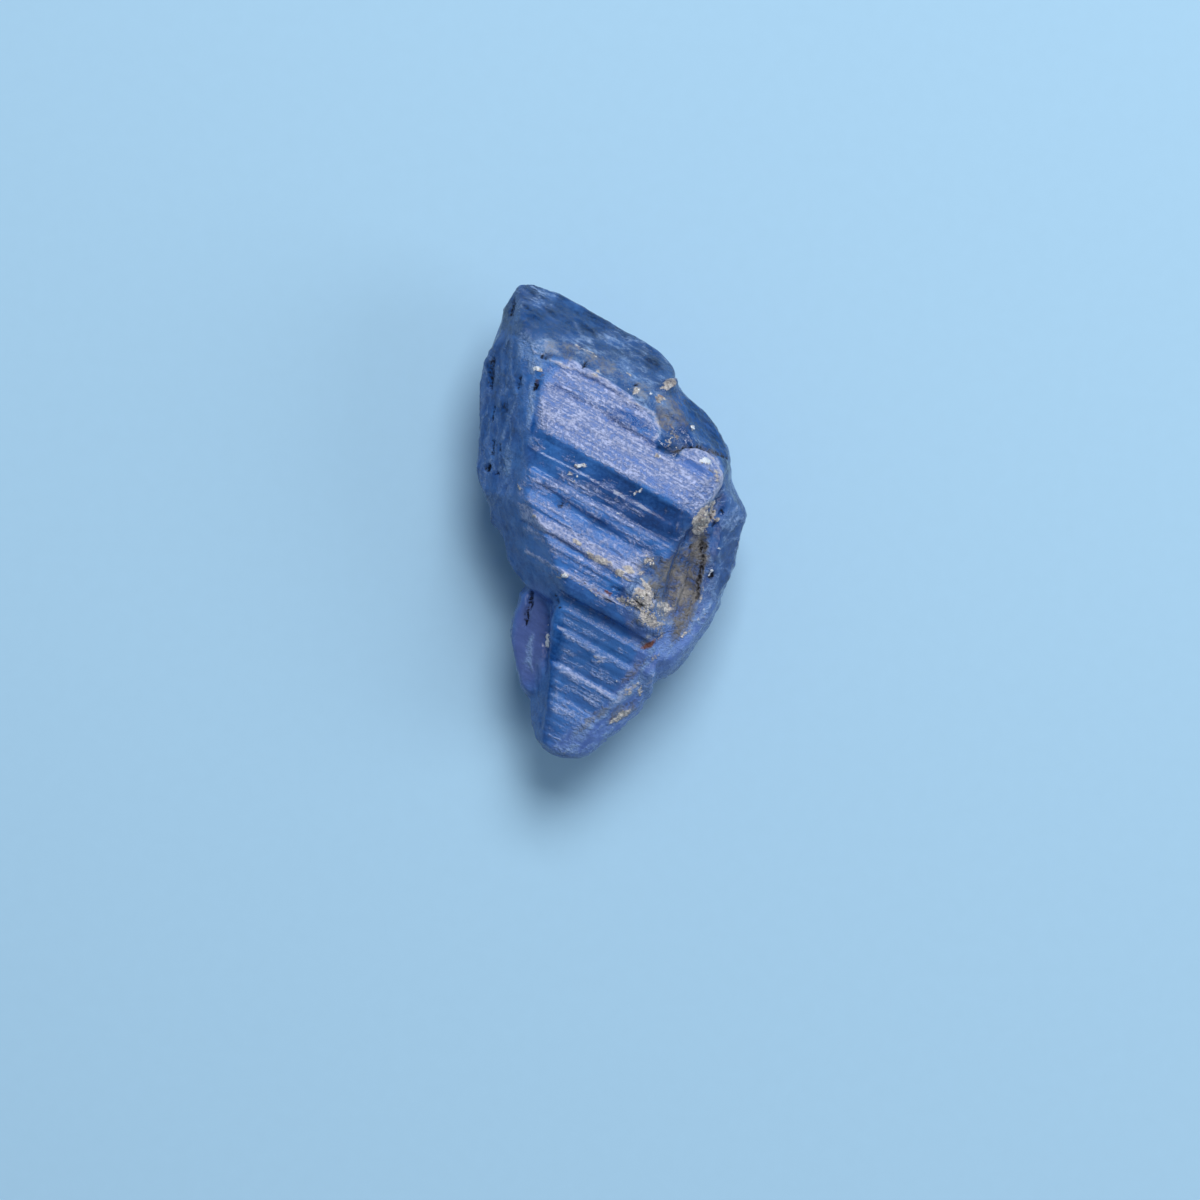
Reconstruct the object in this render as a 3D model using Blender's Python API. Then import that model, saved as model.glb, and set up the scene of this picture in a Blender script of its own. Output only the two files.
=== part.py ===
"""A rough tanzanite crystal: one broken prismatic crystal, lying on the small cleavage flat of
its back with its striated front up.

The frame: +X to the right and +Y towards the apex as the front is looked at, +Z out of the
front, and the origin on the rest flat. Sizes below are millimetres at the crystal's real size,
and the finished crystal is turned into metres.
"""

import math

import bmesh
import bpy
from mathutils import Matrix, Vector

# Whole crystal
LENGTH = 12.0
DRAWN_LENGTH = 12.0
MM = 0.001
GRAIN_TURN = math.radians(-29.0)
OVERSIZE = 20.0

# Outlines, seen from the front, clockwise from the apex
MAIN_OUTLINE = [
    (-2.45, 5.82), (-2.20, 6.00), (-1.87, 5.95), (-0.84, 5.47), (0.11, 4.93), (1.02, 4.39),
    (1.47, 3.99), (1.61, 3.77), (1.62, 3.55), (2.25, 2.86), (2.56, 2.55), (2.84, 1.99),
    (2.97, 1.77), (3.03, 1.27), (2.86, 0.72), (2.55, 0.01), (2.40, -0.99), (2.20, -2.00),
    (1.55, -3.01), (0.74, -3.26), (-0.26, -2.81), (-1.27, -2.25), (-1.87, -1.92),
    (-2.20, -1.57), (-2.45, -1.27), (-2.65, -0.79), (-2.78, -0.29), (-3.01, -0.02),
    (-3.03, 0.31), (-3.28, 0.87), (-3.37, 1.22), (-3.31, 2.28), (-3.30, 3.41), (-3.18, 4.09),
    (-2.86, 4.74), (-2.70, 5.35),
]
MAIN_CENTRE = (-0.14, 1.40)
LEDGE_OUTLINE = [
    (2.63, 2.03), (2.98, 1.57), (3.07, 1.32), (3.08, 1.04), (3.33, 0.44), (3.42, 0.16),
    (3.36, -0.16), (3.23, -0.69), (2.99, -1.50), (2.78, -1.92), (2.73, -2.20), (2.23, -3.03),
    (1.77, -3.66), (1.45, -3.96), (1.04, -4.11), (0.94, -4.57), (0.49, -4.26), (0.24, -3.01),
    (0.74, -0.99), (1.25, 1.02), (2.00, 2.03),
]
LEDGE_CENTRE = (1.70, -1.20)
TIP_OUTLINE = [
    (-1.65, -2.00), (-1.77, -3.01), (-1.95, -3.76), (-2.09, -4.52), (-2.10, -4.97),
    (-1.92, -5.47), (-1.65, -5.79), (-1.32, -5.98), (-0.97, -6.03), (-0.57, -5.96),
    (-0.26, -5.67), (-0.06, -5.50), (0.26, -5.31), (0.59, -4.97), (0.94, -4.52), (1.12, -4.01),
    (1.55, -3.01), (0.99, -1.62), (-0.26, -0.99), (-1.27, -1.37),
]
TIP_CENTRE = (-0.45, -3.40)
FLAKE_OUTLINE = [
    (-2.18, -1.68), (-2.33, -2.05), (-2.45, -2.38), (-2.51, -2.77), (-2.49, -3.13),
    (-2.43, -3.51), (-2.33, -3.89), (-2.08, -4.45), (-1.77, -4.26), (-1.47, -3.51),
    (-1.30, -2.50), (-1.65, -1.60),
]
FLAKE_CENTRE = (-1.88, -2.95)

# How each body swells and narrows: (part of the outline, height), from the back to the front
MAIN_RINGS = [
    (0.42, -0.30), (0.56, 0.00), (0.76, 0.50), (0.89, 1.10), (0.97, 1.80), (1.00, 2.35),
    (0.985, 2.95), (0.955, 3.55), (0.91, 4.15), (0.86, 4.80), (0.83, 5.40),
]
LEDGE_RINGS = [
    (0.50, 0.75), (0.78, 1.00), (0.93, 1.55), (1.00, 2.25), (0.975, 2.75), (0.92, 3.20),
    (0.80, 3.75),
]
TIP_RINGS = [
    (0.50, 0.40), (0.72, 0.85), (0.90, 1.45), (1.00, 2.25), (0.97, 2.65), (0.90, 3.15),
    (0.82, 3.60), (0.72, 4.15),
]
FLAKE_RINGS = [(0.60, 0.95), (0.84, 1.35), (1.00, 2.05), (0.93, 2.45), (0.70, 2.85)]

# The growth striations: section across the grain, (distance across, height)
ROOF_STEPS = [
    (4.52, 2.30), (4.14, 2.80), (4.08, 2.93), (3.76, 3.32), (3.70, 3.43), (3.40, 3.78),
    (3.33, 3.92), (3.06, 4.18),
]
UPPER_BAND = [
    (2.97, 4.27), (2.91, 4.36), (2.83, 4.31), (2.52, 4.40), (2.24, 4.48), (2.14, 4.45),
    (1.80, 4.57), (1.47, 4.68), (1.16, 4.77), (1.08, 4.76),
]
DEEP_BAND = [(0.92, 4.70), (0.65, 4.64), (0.60, 4.68), (0.22, 4.55), (0.12, 4.63)]
MIDDLE_BANDS = [
    (-0.10, 4.60), (-0.30, 4.46), (-0.38, 4.49), (-0.65, 4.60), (-0.71, 4.54), (-1.00, 4.66),
    (-1.11, 4.54), (-1.31, 4.61), (-1.37, 4.52), (-1.64, 4.46), (-1.76, 4.53),
]
OVERHANG = [(-2.14, 4.28), (-2.19, 3.94)]
TIP_BANDS = [
    (-2.45, 3.86), (-2.52, 3.92), (-2.97, 3.72), (-3.04, 3.79), (-3.45, 3.60), (-3.80, 3.42),
    (-3.88, 3.52), (-4.20, 3.38), (-4.52, 3.22), (-4.58, 3.28), (-4.72, 3.18), (-4.79, 3.24),
    (-5.30, 2.98), (-6.00, 2.66),
]
BACK_TIP_START = (-6.00, 1.55)
REST_LOW_EDGE = -1.05
REST_HIGH_EDGE = 1.75
BACK_TOP_END = (4.60, 2.10)
BACK_STEPS = 6
STEP_RISE = 0.07

# Flat breaks and cleavages: a point on the face, the compass direction that it faces and its
# tilt away from straight up, both in degrees
MAIN_FACES = {
    "roof end": ((1.02, 3.90, 3.25), 48.0, 52.0),
    "shoulder": ((2.25, 2.87, 2.55), 36.0, 67.0),
    "apex": ((-2.95, 4.97, 2.50), 156.0, 64.0),
    "dark side": ((-3.31, 3.03, 2.40), 179.0, 59.0),
    "smooth side": ((-1.95, 2.03, 4.55), 168.0, 32.0),
    "lower side": ((-2.65, -0.74, 2.40), 205.0, 64.0),
    "lower edge": ((-2.20, -0.57, 4.48), 202.0, 40.0),
    "broken end": ((2.00, 0.21, 4.48), -24.6, 45.0),
    "back right": ((1.90, 2.20, 0.70), 20.0, 128.0),
    "back left": ((-2.60, 1.60, 0.85), 176.0, 124.0),
    "back apex": ((-1.60, 4.30, 0.90), 112.0, 133.0),
}
LEDGE_FACES = {
    "ledge top": ((2.15, -1.20, 3.62), -18.0, 22.0),
    "ledge rim": ((3.10, -0.40, 2.95), -12.0, 58.0),
    "ledge back": ((2.60, -1.30, 1.30), -20.0, 136.0),
}
TIP_FACES = {
    "tip side": ((-1.52, -4.20, 3.35), 183.0, 67.0),
    "tip crust": ((0.06, -4.64, 3.36), -53.0, 47.0),
    "tip back": ((-1.30, -4.60, 1.20), 205.0, 140.0),
}
FLAKE_FACES = {
    "flake front": ((-1.90, -2.90, 2.62), 190.0, 24.0),
}

# Shell-shaped breaks: centre above the surface, half sizes, turn about +Z in degrees
HOLLOWS = {
    "shoulder hollow": ((1.45, 2.50, 4.72), (1.10, 0.50, 0.80), -56.0),
    "dirt hollow": ((1.90, -1.42, 4.22), (0.46, 1.55, 0.80), -17.0),
    "dark crack": ((2.20, -1.50, 3.64), (0.08, 1.15, 0.36), -14.0),
    "flake groove": ((-1.60, -2.95, 3.05), (0.12, 0.95, 0.46), -4.0),
    "back shell": ((-2.10, -0.90, -2.10), (2.60, 1.20, 2.95), -29.0),
    "back right shell": ((3.10, 0.10, -1.70), (1.50, 2.60, 2.55), -20.0),
}


def clear_scene():
    """Take every object out of the open scene."""
    for item in list(bpy.data.objects):
        bpy.data.objects.remove(item, do_unlink=True)


def crystal_material():
    """Blue-violet zoisite, glassy where it is broken clean."""
    material = bpy.data.materials.new("tanzanite")
    material.use_nodes = True
    shader = material.node_tree.nodes["Principled BSDF"]
    shader.inputs["Base Color"].default_value = (0.105, 0.175, 0.445, 1.0)
    shader.inputs["Roughness"].default_value = 0.28
    shader.inputs["Metallic"].default_value = 0.0
    material.diffuse_color = (0.105, 0.175, 0.445, 1.0)
    return material


def link_mesh(name, mesh):
    """Put a mesh into the scene as an object of its own."""
    thing = bpy.data.objects.new(name, mesh)
    bpy.context.scene.collection.objects.link(thing)
    return thing


def link_bmesh(name, bm):
    """Turn finished working geometry into an object, every face pointing out."""
    bmesh.ops.recalc_face_normals(bm, faces=bm.faces)
    bmesh.ops.triangulate(bm, faces=bm.faces)
    mesh = bpy.data.meshes.new(name)
    bm.to_mesh(mesh)
    bm.free()
    return link_mesh(name, mesh)


def rounded_outline(points):
    """The outline drawn as a closed curve whose corners are eased into each other."""
    curve = bpy.data.curves.new("outline", "CURVE")
    curve.dimensions = "3D"
    curve.resolution_u = 2
    spline = curve.splines.new("BEZIER")
    spline.bezier_points.add(len(points) - 1)
    spline.use_cyclic_u = True
    for knot, (x, y) in zip(spline.bezier_points, points):
        knot.co = (x, y, 0.0)
        knot.handle_left_type = "AUTO"
        knot.handle_right_type = "AUTO"
    guide = bpy.data.objects.new("outline", curve)
    bpy.context.scene.collection.objects.link(guide)
    bpy.context.view_layer.update()
    drawn = guide.to_mesh()
    ring = [vertex.co.copy() for vertex in drawn.vertices]
    guide.to_mesh_clear()
    bpy.data.objects.remove(guide, do_unlink=True)
    bpy.data.curves.remove(curve)
    return ring


def swelling_body(name, points, centre, rings):
    """A body with the outline at its girdle, narrowing towards its back and its front."""
    outline = rounded_outline(points)
    middle = Vector((centre[0], centre[1], 0.0))
    bm = bmesh.new()
    loops = []
    for part, height in rings:
        lift = Vector((0.0, 0.0, height))
        loops.append([bm.verts.new(middle + (co - middle) * part + lift) for co in outline])
    count = len(outline)
    for lower, upper in zip(loops, loops[1:]):
        for i in range(count):
            j = (i + 1) % count
            bm.faces.new((lower[i], lower[j], upper[j], upper[i]))
    bm.faces.new(loops[0])
    bm.faces.new(loops[-1])
    return link_bmesh(name, bm)


def facing(direction, tilt):
    """The unit vector that faces a compass direction, tilted away from straight up."""
    turn = math.radians(direction)
    lean = math.radians(tilt)
    return Vector((
        math.sin(lean) * math.cos(turn),
        math.sin(lean) * math.sin(turn),
        math.cos(lean),
    ))


def combine(body, other, operation):
    """Union, intersection or difference of two closed bodies; the other one is used up."""
    step = body.modifiers.new(operation.lower(), "BOOLEAN")
    step.operation = operation
    step.solver = "EXACT"
    step.object = other
    other.hide_render = True
    other.display_type = "WIRE"
    bpy.context.view_layer.update()
    depsgraph = bpy.context.evaluated_depsgraph_get()
    result = bpy.data.meshes.new_from_object(body.evaluated_get(depsgraph))
    body.modifiers.remove(step)
    spent = body.data
    body.data = result
    bpy.data.meshes.remove(spent)
    bpy.data.objects.remove(other, do_unlink=True)


def break_along(body, point, direction, tilt):
    """Take away everything in front of one flat face."""
    normal = facing(direction, tilt)
    bm = bmesh.new()
    bmesh.ops.create_cube(bm, size=OVERSIZE)
    turn = Vector((0.0, 0.0, 1.0)).rotation_difference(normal).to_matrix().to_4x4()
    place = Matrix.Translation(Vector(point) + normal * OVERSIZE * 0.5) @ turn
    bmesh.ops.transform(bm, matrix=place, verts=bm.verts)
    combine(body, link_bmesh("waste", bm), "DIFFERENCE")


def hollow_out(body, centre, radii, turn):
    """Take a shell-shaped bite out of the surface."""
    bm = bmesh.new()
    bmesh.ops.create_uvsphere(bm, u_segments=32, v_segments=20, radius=1.0)
    size = Matrix.Diagonal((*radii, 1.0))
    place = Matrix.Translation(centre) @ Matrix.Rotation(math.radians(turn), 4, "Z") @ size
    bmesh.ops.transform(bm, matrix=place, verts=bm.verts)
    combine(body, link_bmesh("bite", bm), "DIFFERENCE")


def stepped_slope(start, end, steps, rise):
    """Points of a slope broken into flat treads and short risers."""
    points = [start]
    for i in range(1, steps):
        part = i / steps
        across = start[0] + (end[0] - start[0]) * part
        height = start[1] + (end[1] - start[1]) * part
        points.append((across - 0.04, height - rise * 0.5))
        points.append((across + 0.04, height + rise * 0.5))
    points.append(end)
    return points


def striated_prism():
    """The crystal's section across the grain, drawn out along the grain."""
    front = UPPER_BAND + DEEP_BAND + MIDDLE_BANDS + OVERHANG + TIP_BANDS
    tip_back = stepped_slope(BACK_TIP_START, (REST_LOW_EDGE, 0.0), BACK_STEPS, -STEP_RISE)
    top_back = stepped_slope((REST_HIGH_EDGE, 0.0), BACK_TOP_END, BACK_STEPS - 2, STEP_RISE)
    section = front + tip_back + top_back + ROOF_STEPS
    bm = bmesh.new()
    rim = [bm.verts.new((-OVERSIZE * 0.5, across, height)) for across, height in section]
    cap = bm.faces.new(rim)
    drawn = bmesh.ops.extrude_face_region(bm, geom=[cap])
    far = [item for item in drawn["geom"] if isinstance(item, bmesh.types.BMVert)]
    bmesh.ops.translate(bm, verts=far, vec=(OVERSIZE, 0.0, 0.0))
    bmesh.ops.rotate(bm, verts=bm.verts, cent=(0.0, 0.0, 0.0),
                     matrix=Matrix.Rotation(GRAIN_TURN, 3, "Z"))
    return link_bmesh("striations", bm)


def broken_body(name, points, centre, rings, faces):
    """One part of the crystal: a swelling body cut back to its flat faces."""
    body = swelling_body(name, points, centre, rings)
    for point, direction, tilt in faces.values():
        break_along(body, point, direction, tilt)
    return body


def finish(body, material):
    """Clean the joined crystal, centre it on the origin and scale it to metres."""
    bm = bmesh.new()
    bm.from_mesh(body.data)
    bmesh.ops.remove_doubles(bm, verts=bm.verts, dist=0.004)
    bmesh.ops.dissolve_degenerate(bm, edges=bm.edges, dist=0.004)
    bmesh.ops.triangulate(bm, faces=bm.faces)
    across = [vertex.co.x for vertex in bm.verts]
    along = [vertex.co.y for vertex in bm.verts]
    middle = Vector((min(across) + max(across), min(along) + max(along), 0.0)) * 0.5
    bmesh.ops.translate(bm, verts=bm.verts, vec=-middle)
    bmesh.ops.scale(bm, vec=(MM * LENGTH / DRAWN_LENGTH,) * 3, verts=bm.verts)
    bm.to_mesh(body.data)
    bm.free()
    body.data.materials.clear()
    body.data.materials.append(material)


def build():
    """Join the crystal's parts, draw the striations across them and break the hollows out."""
    clear_scene()
    crystal = broken_body("tanzanite_crystal", MAIN_OUTLINE, MAIN_CENTRE, MAIN_RINGS, MAIN_FACES)
    ledge = broken_body("ledge", LEDGE_OUTLINE, LEDGE_CENTRE, LEDGE_RINGS, LEDGE_FACES)
    tip = broken_body("tip", TIP_OUTLINE, TIP_CENTRE, TIP_RINGS, TIP_FACES)
    flake = broken_body("flake", FLAKE_OUTLINE, FLAKE_CENTRE, FLAKE_RINGS, FLAKE_FACES)
    combine(crystal, tip, "UNION")
    combine(crystal, ledge, "UNION")
    combine(crystal, flake, "UNION")
    combine(crystal, striated_prism(), "INTERSECT")
    for centre, radii, turn in HOLLOWS.values():
        hollow_out(crystal, centre, radii, turn)
    finish(crystal, crystal_material())


build()
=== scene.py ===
"""A rough tanzanite crystal: its fine surface, the crust on it and the cracks healed inside it.

The crystal lies on its back with its striated front up. Lengths in the tables are millimetres,
with X to the right, Y towards the apex and Z out of the front.
"""

import itertools
import math

import bmesh
import bpy
import numpy as np
from mathutils import Matrix, Vector
from mathutils.bvhtree import BVHTree


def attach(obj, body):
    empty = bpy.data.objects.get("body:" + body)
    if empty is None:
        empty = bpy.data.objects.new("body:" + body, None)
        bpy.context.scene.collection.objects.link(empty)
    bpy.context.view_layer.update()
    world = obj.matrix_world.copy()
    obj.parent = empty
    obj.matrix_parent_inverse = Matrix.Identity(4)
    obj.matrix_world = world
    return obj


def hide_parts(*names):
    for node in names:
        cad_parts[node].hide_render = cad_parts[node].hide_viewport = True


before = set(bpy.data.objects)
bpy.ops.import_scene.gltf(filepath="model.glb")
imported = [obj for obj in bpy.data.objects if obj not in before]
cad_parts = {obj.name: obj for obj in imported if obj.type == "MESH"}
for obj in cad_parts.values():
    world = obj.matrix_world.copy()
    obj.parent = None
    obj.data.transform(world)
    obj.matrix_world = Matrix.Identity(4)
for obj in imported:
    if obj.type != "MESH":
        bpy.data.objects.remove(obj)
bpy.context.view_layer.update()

bl_info = {
    "name": "Rough Tanzanite",
    "version": (1, 0, 0),
    "blender": (4, 5, 0),
    "location": "3D View > Sidebar > Tanzanite",
    "description": "Builds the surface of a rough tanzanite crystal and its small studio",
    "category": "Add Mesh",
}

MM = 0.001
NODE = "tanzanite_crystal"
# The striations' turn from X in degrees
GRAIN_TURN = -29.0
# How often the mesh is smoothed all over, and how often along the worn lines
SMOOTH_ROUNDS = 7
WEAR_ROUNDS = 60
# A working even mesh has at least this many vertices
FEWEST_VERTICES = 1000
# Heights in millimetres: one above the whole stone, and the lowest at which crumbs lie
ABOVE_ALL = 8.0
CRUMBS_FROM = 1.5
# The stage in metres: the floor's half side, the soft lights' side and where they hang
FLOOR_HALF = 1.5
LIGHT_SIZE = 0.10
MAIN_LIGHT = (0.035, 0.10, 0.165)
SIDE_LIGHT = (0.16, -0.02, 0.10)
# What the lights aim at and where the camera is, in millimetres
LIGHT_AIM = (0.0, 0.0, 3.0)
CAMERA_PLACE = (-0.289, -1.964, 153.0)
# The room's pale blue light, as linear red, green, blue and alpha
ROOM_COLOUR = (0.60, 0.80, 1.0, 1.0)

# Where the striated front ends: its left and right ends as (across the grain, along it), and its
# upper edge as (along the grain, across it)
LEFT_END = [
    (-5.6, 1.22), (-5.0, 0.95), (-4.5, 0.75), (-3.8, 0.5), (-3.0, 0.28), (-2.6, -0.1),
    (-2.3, -0.35), (-1.8, -1.3), (-1.66, -1.6), (-1.4, -1.66), (-1.2, -1.85), (-1.0, -2.08),
    (-0.75, -2.3), (-0.3, -2.48), (0.15, -2.52), (0.5, -2.6), (0.9, -2.7), (1.2, -2.78),
    (1.5, -3.0), (2.2, -3.15), (2.9, -3.02),
]
RIGHT_END = [
    (-5.6, 1.45), (-4.9, 1.7), (-4.5, 1.93), (-3.9, 2.15), (-2.6, 2.2), (-2.1, 1.6), (-1.8, 1.35),
    (-1.5, 1.02), (-1.1, 1.15), (-0.75, 1.28), (-0.45, 1.1), (-0.2, 1.68), (0.5, 1.72),
    (1.0, 1.74), (1.2, 1.78), (2.1, 1.9), (2.5, 1.84), (2.8, 1.6),
]
UPPER_EDGE = [
    (-3.3, 2.9), (-2.8, 3.05), (-1.2, 3.0), (-0.55, 2.8), (-0.2, 2.62), (0.0, 2.32), (0.12, 2.1),
    (0.65, 2.12), (0.78, 2.5), (1.1, 2.74), (1.5, 2.72), (1.8, 2.55),
]
# The rounded edge between the smooth left side and the dark one, (Y, X)
DARK_EDGE = [
    (0.3, -2.95), (1.11, -2.66), (2.06, -2.46), (2.94, -2.28), (3.87, -2.46), (4.83, -2.54),
    (5.58, -2.45),
]

# How frosted the front is from its upper edge down, (across the grain, amount)
FROST_BANDS = [
    (3.05, 0.85), (2.92, 0.8), (2.8, 0.62), (2.3, 0.66), (2.2, 0.45), (2.12, 0.84), (1.92, 0.74),
    (1.86, 0.6), (1.8, 0.76), (1.62, 0.72), (1.57, 0.56), (1.5, 0.74), (1.45, 0.54), (1.38, 0.72),
    (1.28, 0.6), (1.22, 0.76), (1.16, 0.6), (1.1, 0.2), (1.05, 0.0), (0.9, 0.0), (0.74, 0.0),
    (0.64, 0.2), (0.58, 0.08), (0.3, 0.08), (0.2, 0.12), (0.14, 0.5), (0.08, 0.24), (-0.02, 0.18),
    (-0.22, 0.2), (-0.34, 0.34), (-0.56, 0.42), (-0.63, 0.3), (-0.67, 0.06), (-0.71, 0.7),
    (-0.8, 0.88), (-0.98, 0.95), (-1.06, 0.75), (-1.11, 0.12), (-1.16, 0.4), (-1.25, 0.52),
    (-1.3, 0.24), (-1.36, 0.1), (-1.6, 0.08), (-1.66, 0.4), (-1.72, 0.6), (-1.78, 0.24),
    (-1.84, 0.04), (-2.2, 0.02), (-2.4, 0.04), (-2.44, 0.44), (-2.49, 0.12), (-2.6, 0.18),
    (-2.92, 0.08), (-2.98, 0.26), (-3.02, 0.52), (-3.08, 0.22), (-3.2, 0.1), (-3.5, 0.1),
    (-3.7, 0.2), (-3.81, 0.44), (-3.86, 0.78), (-3.91, 0.36), (-3.98, 0.1), (-4.12, 0.2),
    (-4.2, 0.08), (-4.3, 0.24), (-4.44, 0.1), (-4.52, 0.48), (-4.58, 0.22), (-4.68, 0.14),
    (-4.74, 0.66), (-4.8, 0.28), (-4.86, 0.12), (-4.93, 0.3), (-5.0, 0.08), (-5.8, 0.1),
]

# Pale raised lines, their palest crests partly painted highlights, and dark grooves with dirt and
# painted shade: points, half width, height or depth, frost or dirt
RIDGES = [
    ([(-1.55, 4.02), (-1.14, 3.86), (-0.67, 3.7), (-0.29, 3.53), (0.14, 3.25), (0.47, 2.98),
      (0.68, 2.87), (0.97, 2.69), (1.11, 2.44), (1.14, 2.19), (1.09, 2.09)], 0.075, 0.06, 1.5),
    ([(-2.06, 4.61), (-1.94, 4.25), (-1.72, 4.16), (-1.45, 4.3)], 0.035, 0.02, 0.9),
    ([(-1.67, 4.43), (-1.45, 4.48), (-1.3, 4.34)], 0.035, 0.015, 0.6),
    ([(-2.48, 4.83), (-2.53, 3.82), (-2.35, 3.07), (-2.75, 2.01), (-2.55, 1.21), (-2.9, 0.55)],
     0.05, 0.02, 0.55),
    ([(-2.73, 4.33), (-2.75, 3.32), (-2.8, 2.92)], 0.05, 0.01, 0.45),
    ([(-2.1, 0.5), (-1.8, 0.33), (-0.9, -0.28), (0.1, -0.96), (0.62, -1.2)], 0.05, 0.02, 0.7),
    ([(-1.97, 1.16), (-1.2, 0.78), (-0.6, 0.42)], 0.04, 0.015, 0.6),
    ([(0.45, -0.12), (1.3, -0.58), (1.65, -0.8)], 0.03, 0.015, 0.7),
    ([(-2.12, -0.72), (-1.22, -1.25), (-0.29, -1.82), (0.35, -2.14)], 0.05, 0.03, 1.2),
    ([(-1.35, -2.06), (-0.29, -2.7), (0.6, -3.2)], 0.03, 0.015, 0.5),
    ([(-1.1, -2.8), (-0.29, -3.28), (0.49, -3.7)], 0.04, 0.015, 0.6),
    ([(-1.42, -3.6), (-0.67, -4.01), (0.02, -4.42)], 0.045, 0.03, 1.15),
    ([(-1.5, -4.32), (-0.59, -4.82)], 0.035, 0.015, 0.6),
    ([(-1.45, -4.6), (-0.75, -4.98)], 0.035, 0.02, 0.8),
    ([(0.3, -0.22), (0.62, -0.72), (0.88, -1.06)], 0.035, 0.015, 0.7),
    ([(-2.33, 5.58), (-2.4, 4.83), (-2.28, 3.87), (-2.12, 2.94)], 0.12, 0.01, 0.42),
    ([(-2.46, 1.8), (-2.52, 0.95), (-2.4, 0.05), (-2.3, -0.6)], 0.08, 0.0, 0.3),
    ([(-2.02, -2.9), (-2.06, -3.4), (-2.0, -3.8)], 0.05, 0.01, 0.45),
    ([(2.42, -0.4), (2.36, -0.83), (2.33, -1.13), (2.26, -1.64), (2.19, -1.98), (2.06, -2.32),
      (1.9, -2.68)], 0.035, 0.03, 0.85),
    ([(1.9, -2.68), (2.2, -2.4), (2.5, -2.05)], 0.045, 0.02, 0.8),
    ([(2.95, 0.02), (3.18, 0.38)], 0.04, 0.015, 0.8),
    ([(3.08, -0.05), (3.3, 0.2)], 0.035, 0.01, 0.7),
    ([(0.52, -1.96), (0.62, -1.71), (0.77, -1.54), (0.94, -1.71), (1.02, -1.96), (0.92, -2.12)],
     0.045, 0.05, 1.4),
    ([(1.75, 1.62), (1.79, 1.68), (1.9, 1.78), (2.32, 1.7), (2.63, 1.43), (2.7, 1.1),
      (2.58, 0.78), (2.4, 0.5), (2.08, 0.33)], 0.07, 0.04, 1.5),
]
GROOVES = [
    ([(1.55, 1.72), (1.7, 1.72), (1.82, 1.84), (2.13, 1.87), (2.48, 1.76), (2.75, 1.7),
      (2.93, 1.61)], 0.07, 0.06, 1.15),
    ([(2.44, 1.28), (2.54, 1.2), (2.56, 1.06)], 0.04, 0.04, 0.9),
    ([(-1.35, 3.32), (-0.39, 2.77), (0.34, 2.3), (0.92, 1.93)], 0.08, 0.08, 0.1),
    ([(-0.75, 3.62), (-0.29, 3.4), (0.25, 3.1)], 0.05, 0.05, 0.1),
    ([(-1.05, 2.45), (-0.6, 2.22)], 0.04, 0.03, 0.05),
    ([(-1.75, 0.84), (-1.27, 0.52), (-0.54, 0.07), (0.16, -0.4)], 0.08, 0.05, 0.55),
    ([(-2.1, 0.62), (-1.6, 0.3), (-0.7, -0.28), (0.25, -0.9)], 0.03, 0.04, 0.1),
    ([(-2.25, 0.02), (-1.67, -0.28), (-1.04, -0.65), (-0.29, -1.2), (0.26, -1.54)],
     0.04, 0.05, 0.12),
    ([(-0.92, -2.06), (-0.29, -2.29), (0.14, -2.59), (0.72, -2.87)], 0.04, 0.0, 0.6),
    ([(-1.0, -1.42), (-0.55, -1.63), (-0.2, -1.84), (0.3, -2.06)], 0.06, 0.03, 0.75),
    ([(2.3, -0.4), (2.28, -0.83), (2.24, -1.13), (2.17, -1.64), (2.1, -1.96), (1.97, -2.29),
      (1.8, -2.64)], 0.08, 0.05, 0.8),
    ([(-1.22, -2.3), (-1.4, -3.45), (-1.48, -4.21), (-1.61, -5.28)], 0.04, 0.03, 0.05),
    ([(-1.6, -3.9), (-1.68, -4.6), (-1.76, -5.2)], 0.04, 0.02, 0.05),
]
# Open slits, painted black as shade in them, with the same four values
SLITS = [
    ([(-2.06, -1.8), (-2.1, -2.11), (-2.17, -2.6)], 0.065, 0.072, 1.0),
    ([(-3.01, 4.12), (-3.03, 3.77), (-3.08, 3.37)], 0.06, 0.06, 1.0),
    ([(-2.48, 5.58), (-2.53, 5.21)], 0.06, 0.048, 1.0),
    ([(-2.28, 3.62), (-2.35, 3.32)], 0.05, 0.048, 1.0),
    ([(-2.96, 2.02), (-2.99, 1.72)], 0.055, 0.048, 1.0),
    ([(-2.74, 1.96), (-2.77, 1.8)], 0.035, 0.03, 1.0),
    ([(-2.62, 1.56), (-2.6, 1.5)], 0.03, 0.024, 1.0),
    ([(-2.92, 2.9), (-2.99, 2.55)], 0.03, 0.03, 1.0),
    ([(-1.42, -1.86), (-1.28, -2.12)], 0.05, 0.036, 1.0),
    ([(2.3, -0.62), (2.27, -0.83), (2.24, -1.13), (2.18, -1.64), (2.12, -1.9)], 0.09, 0.012, 1.0),
]
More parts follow.
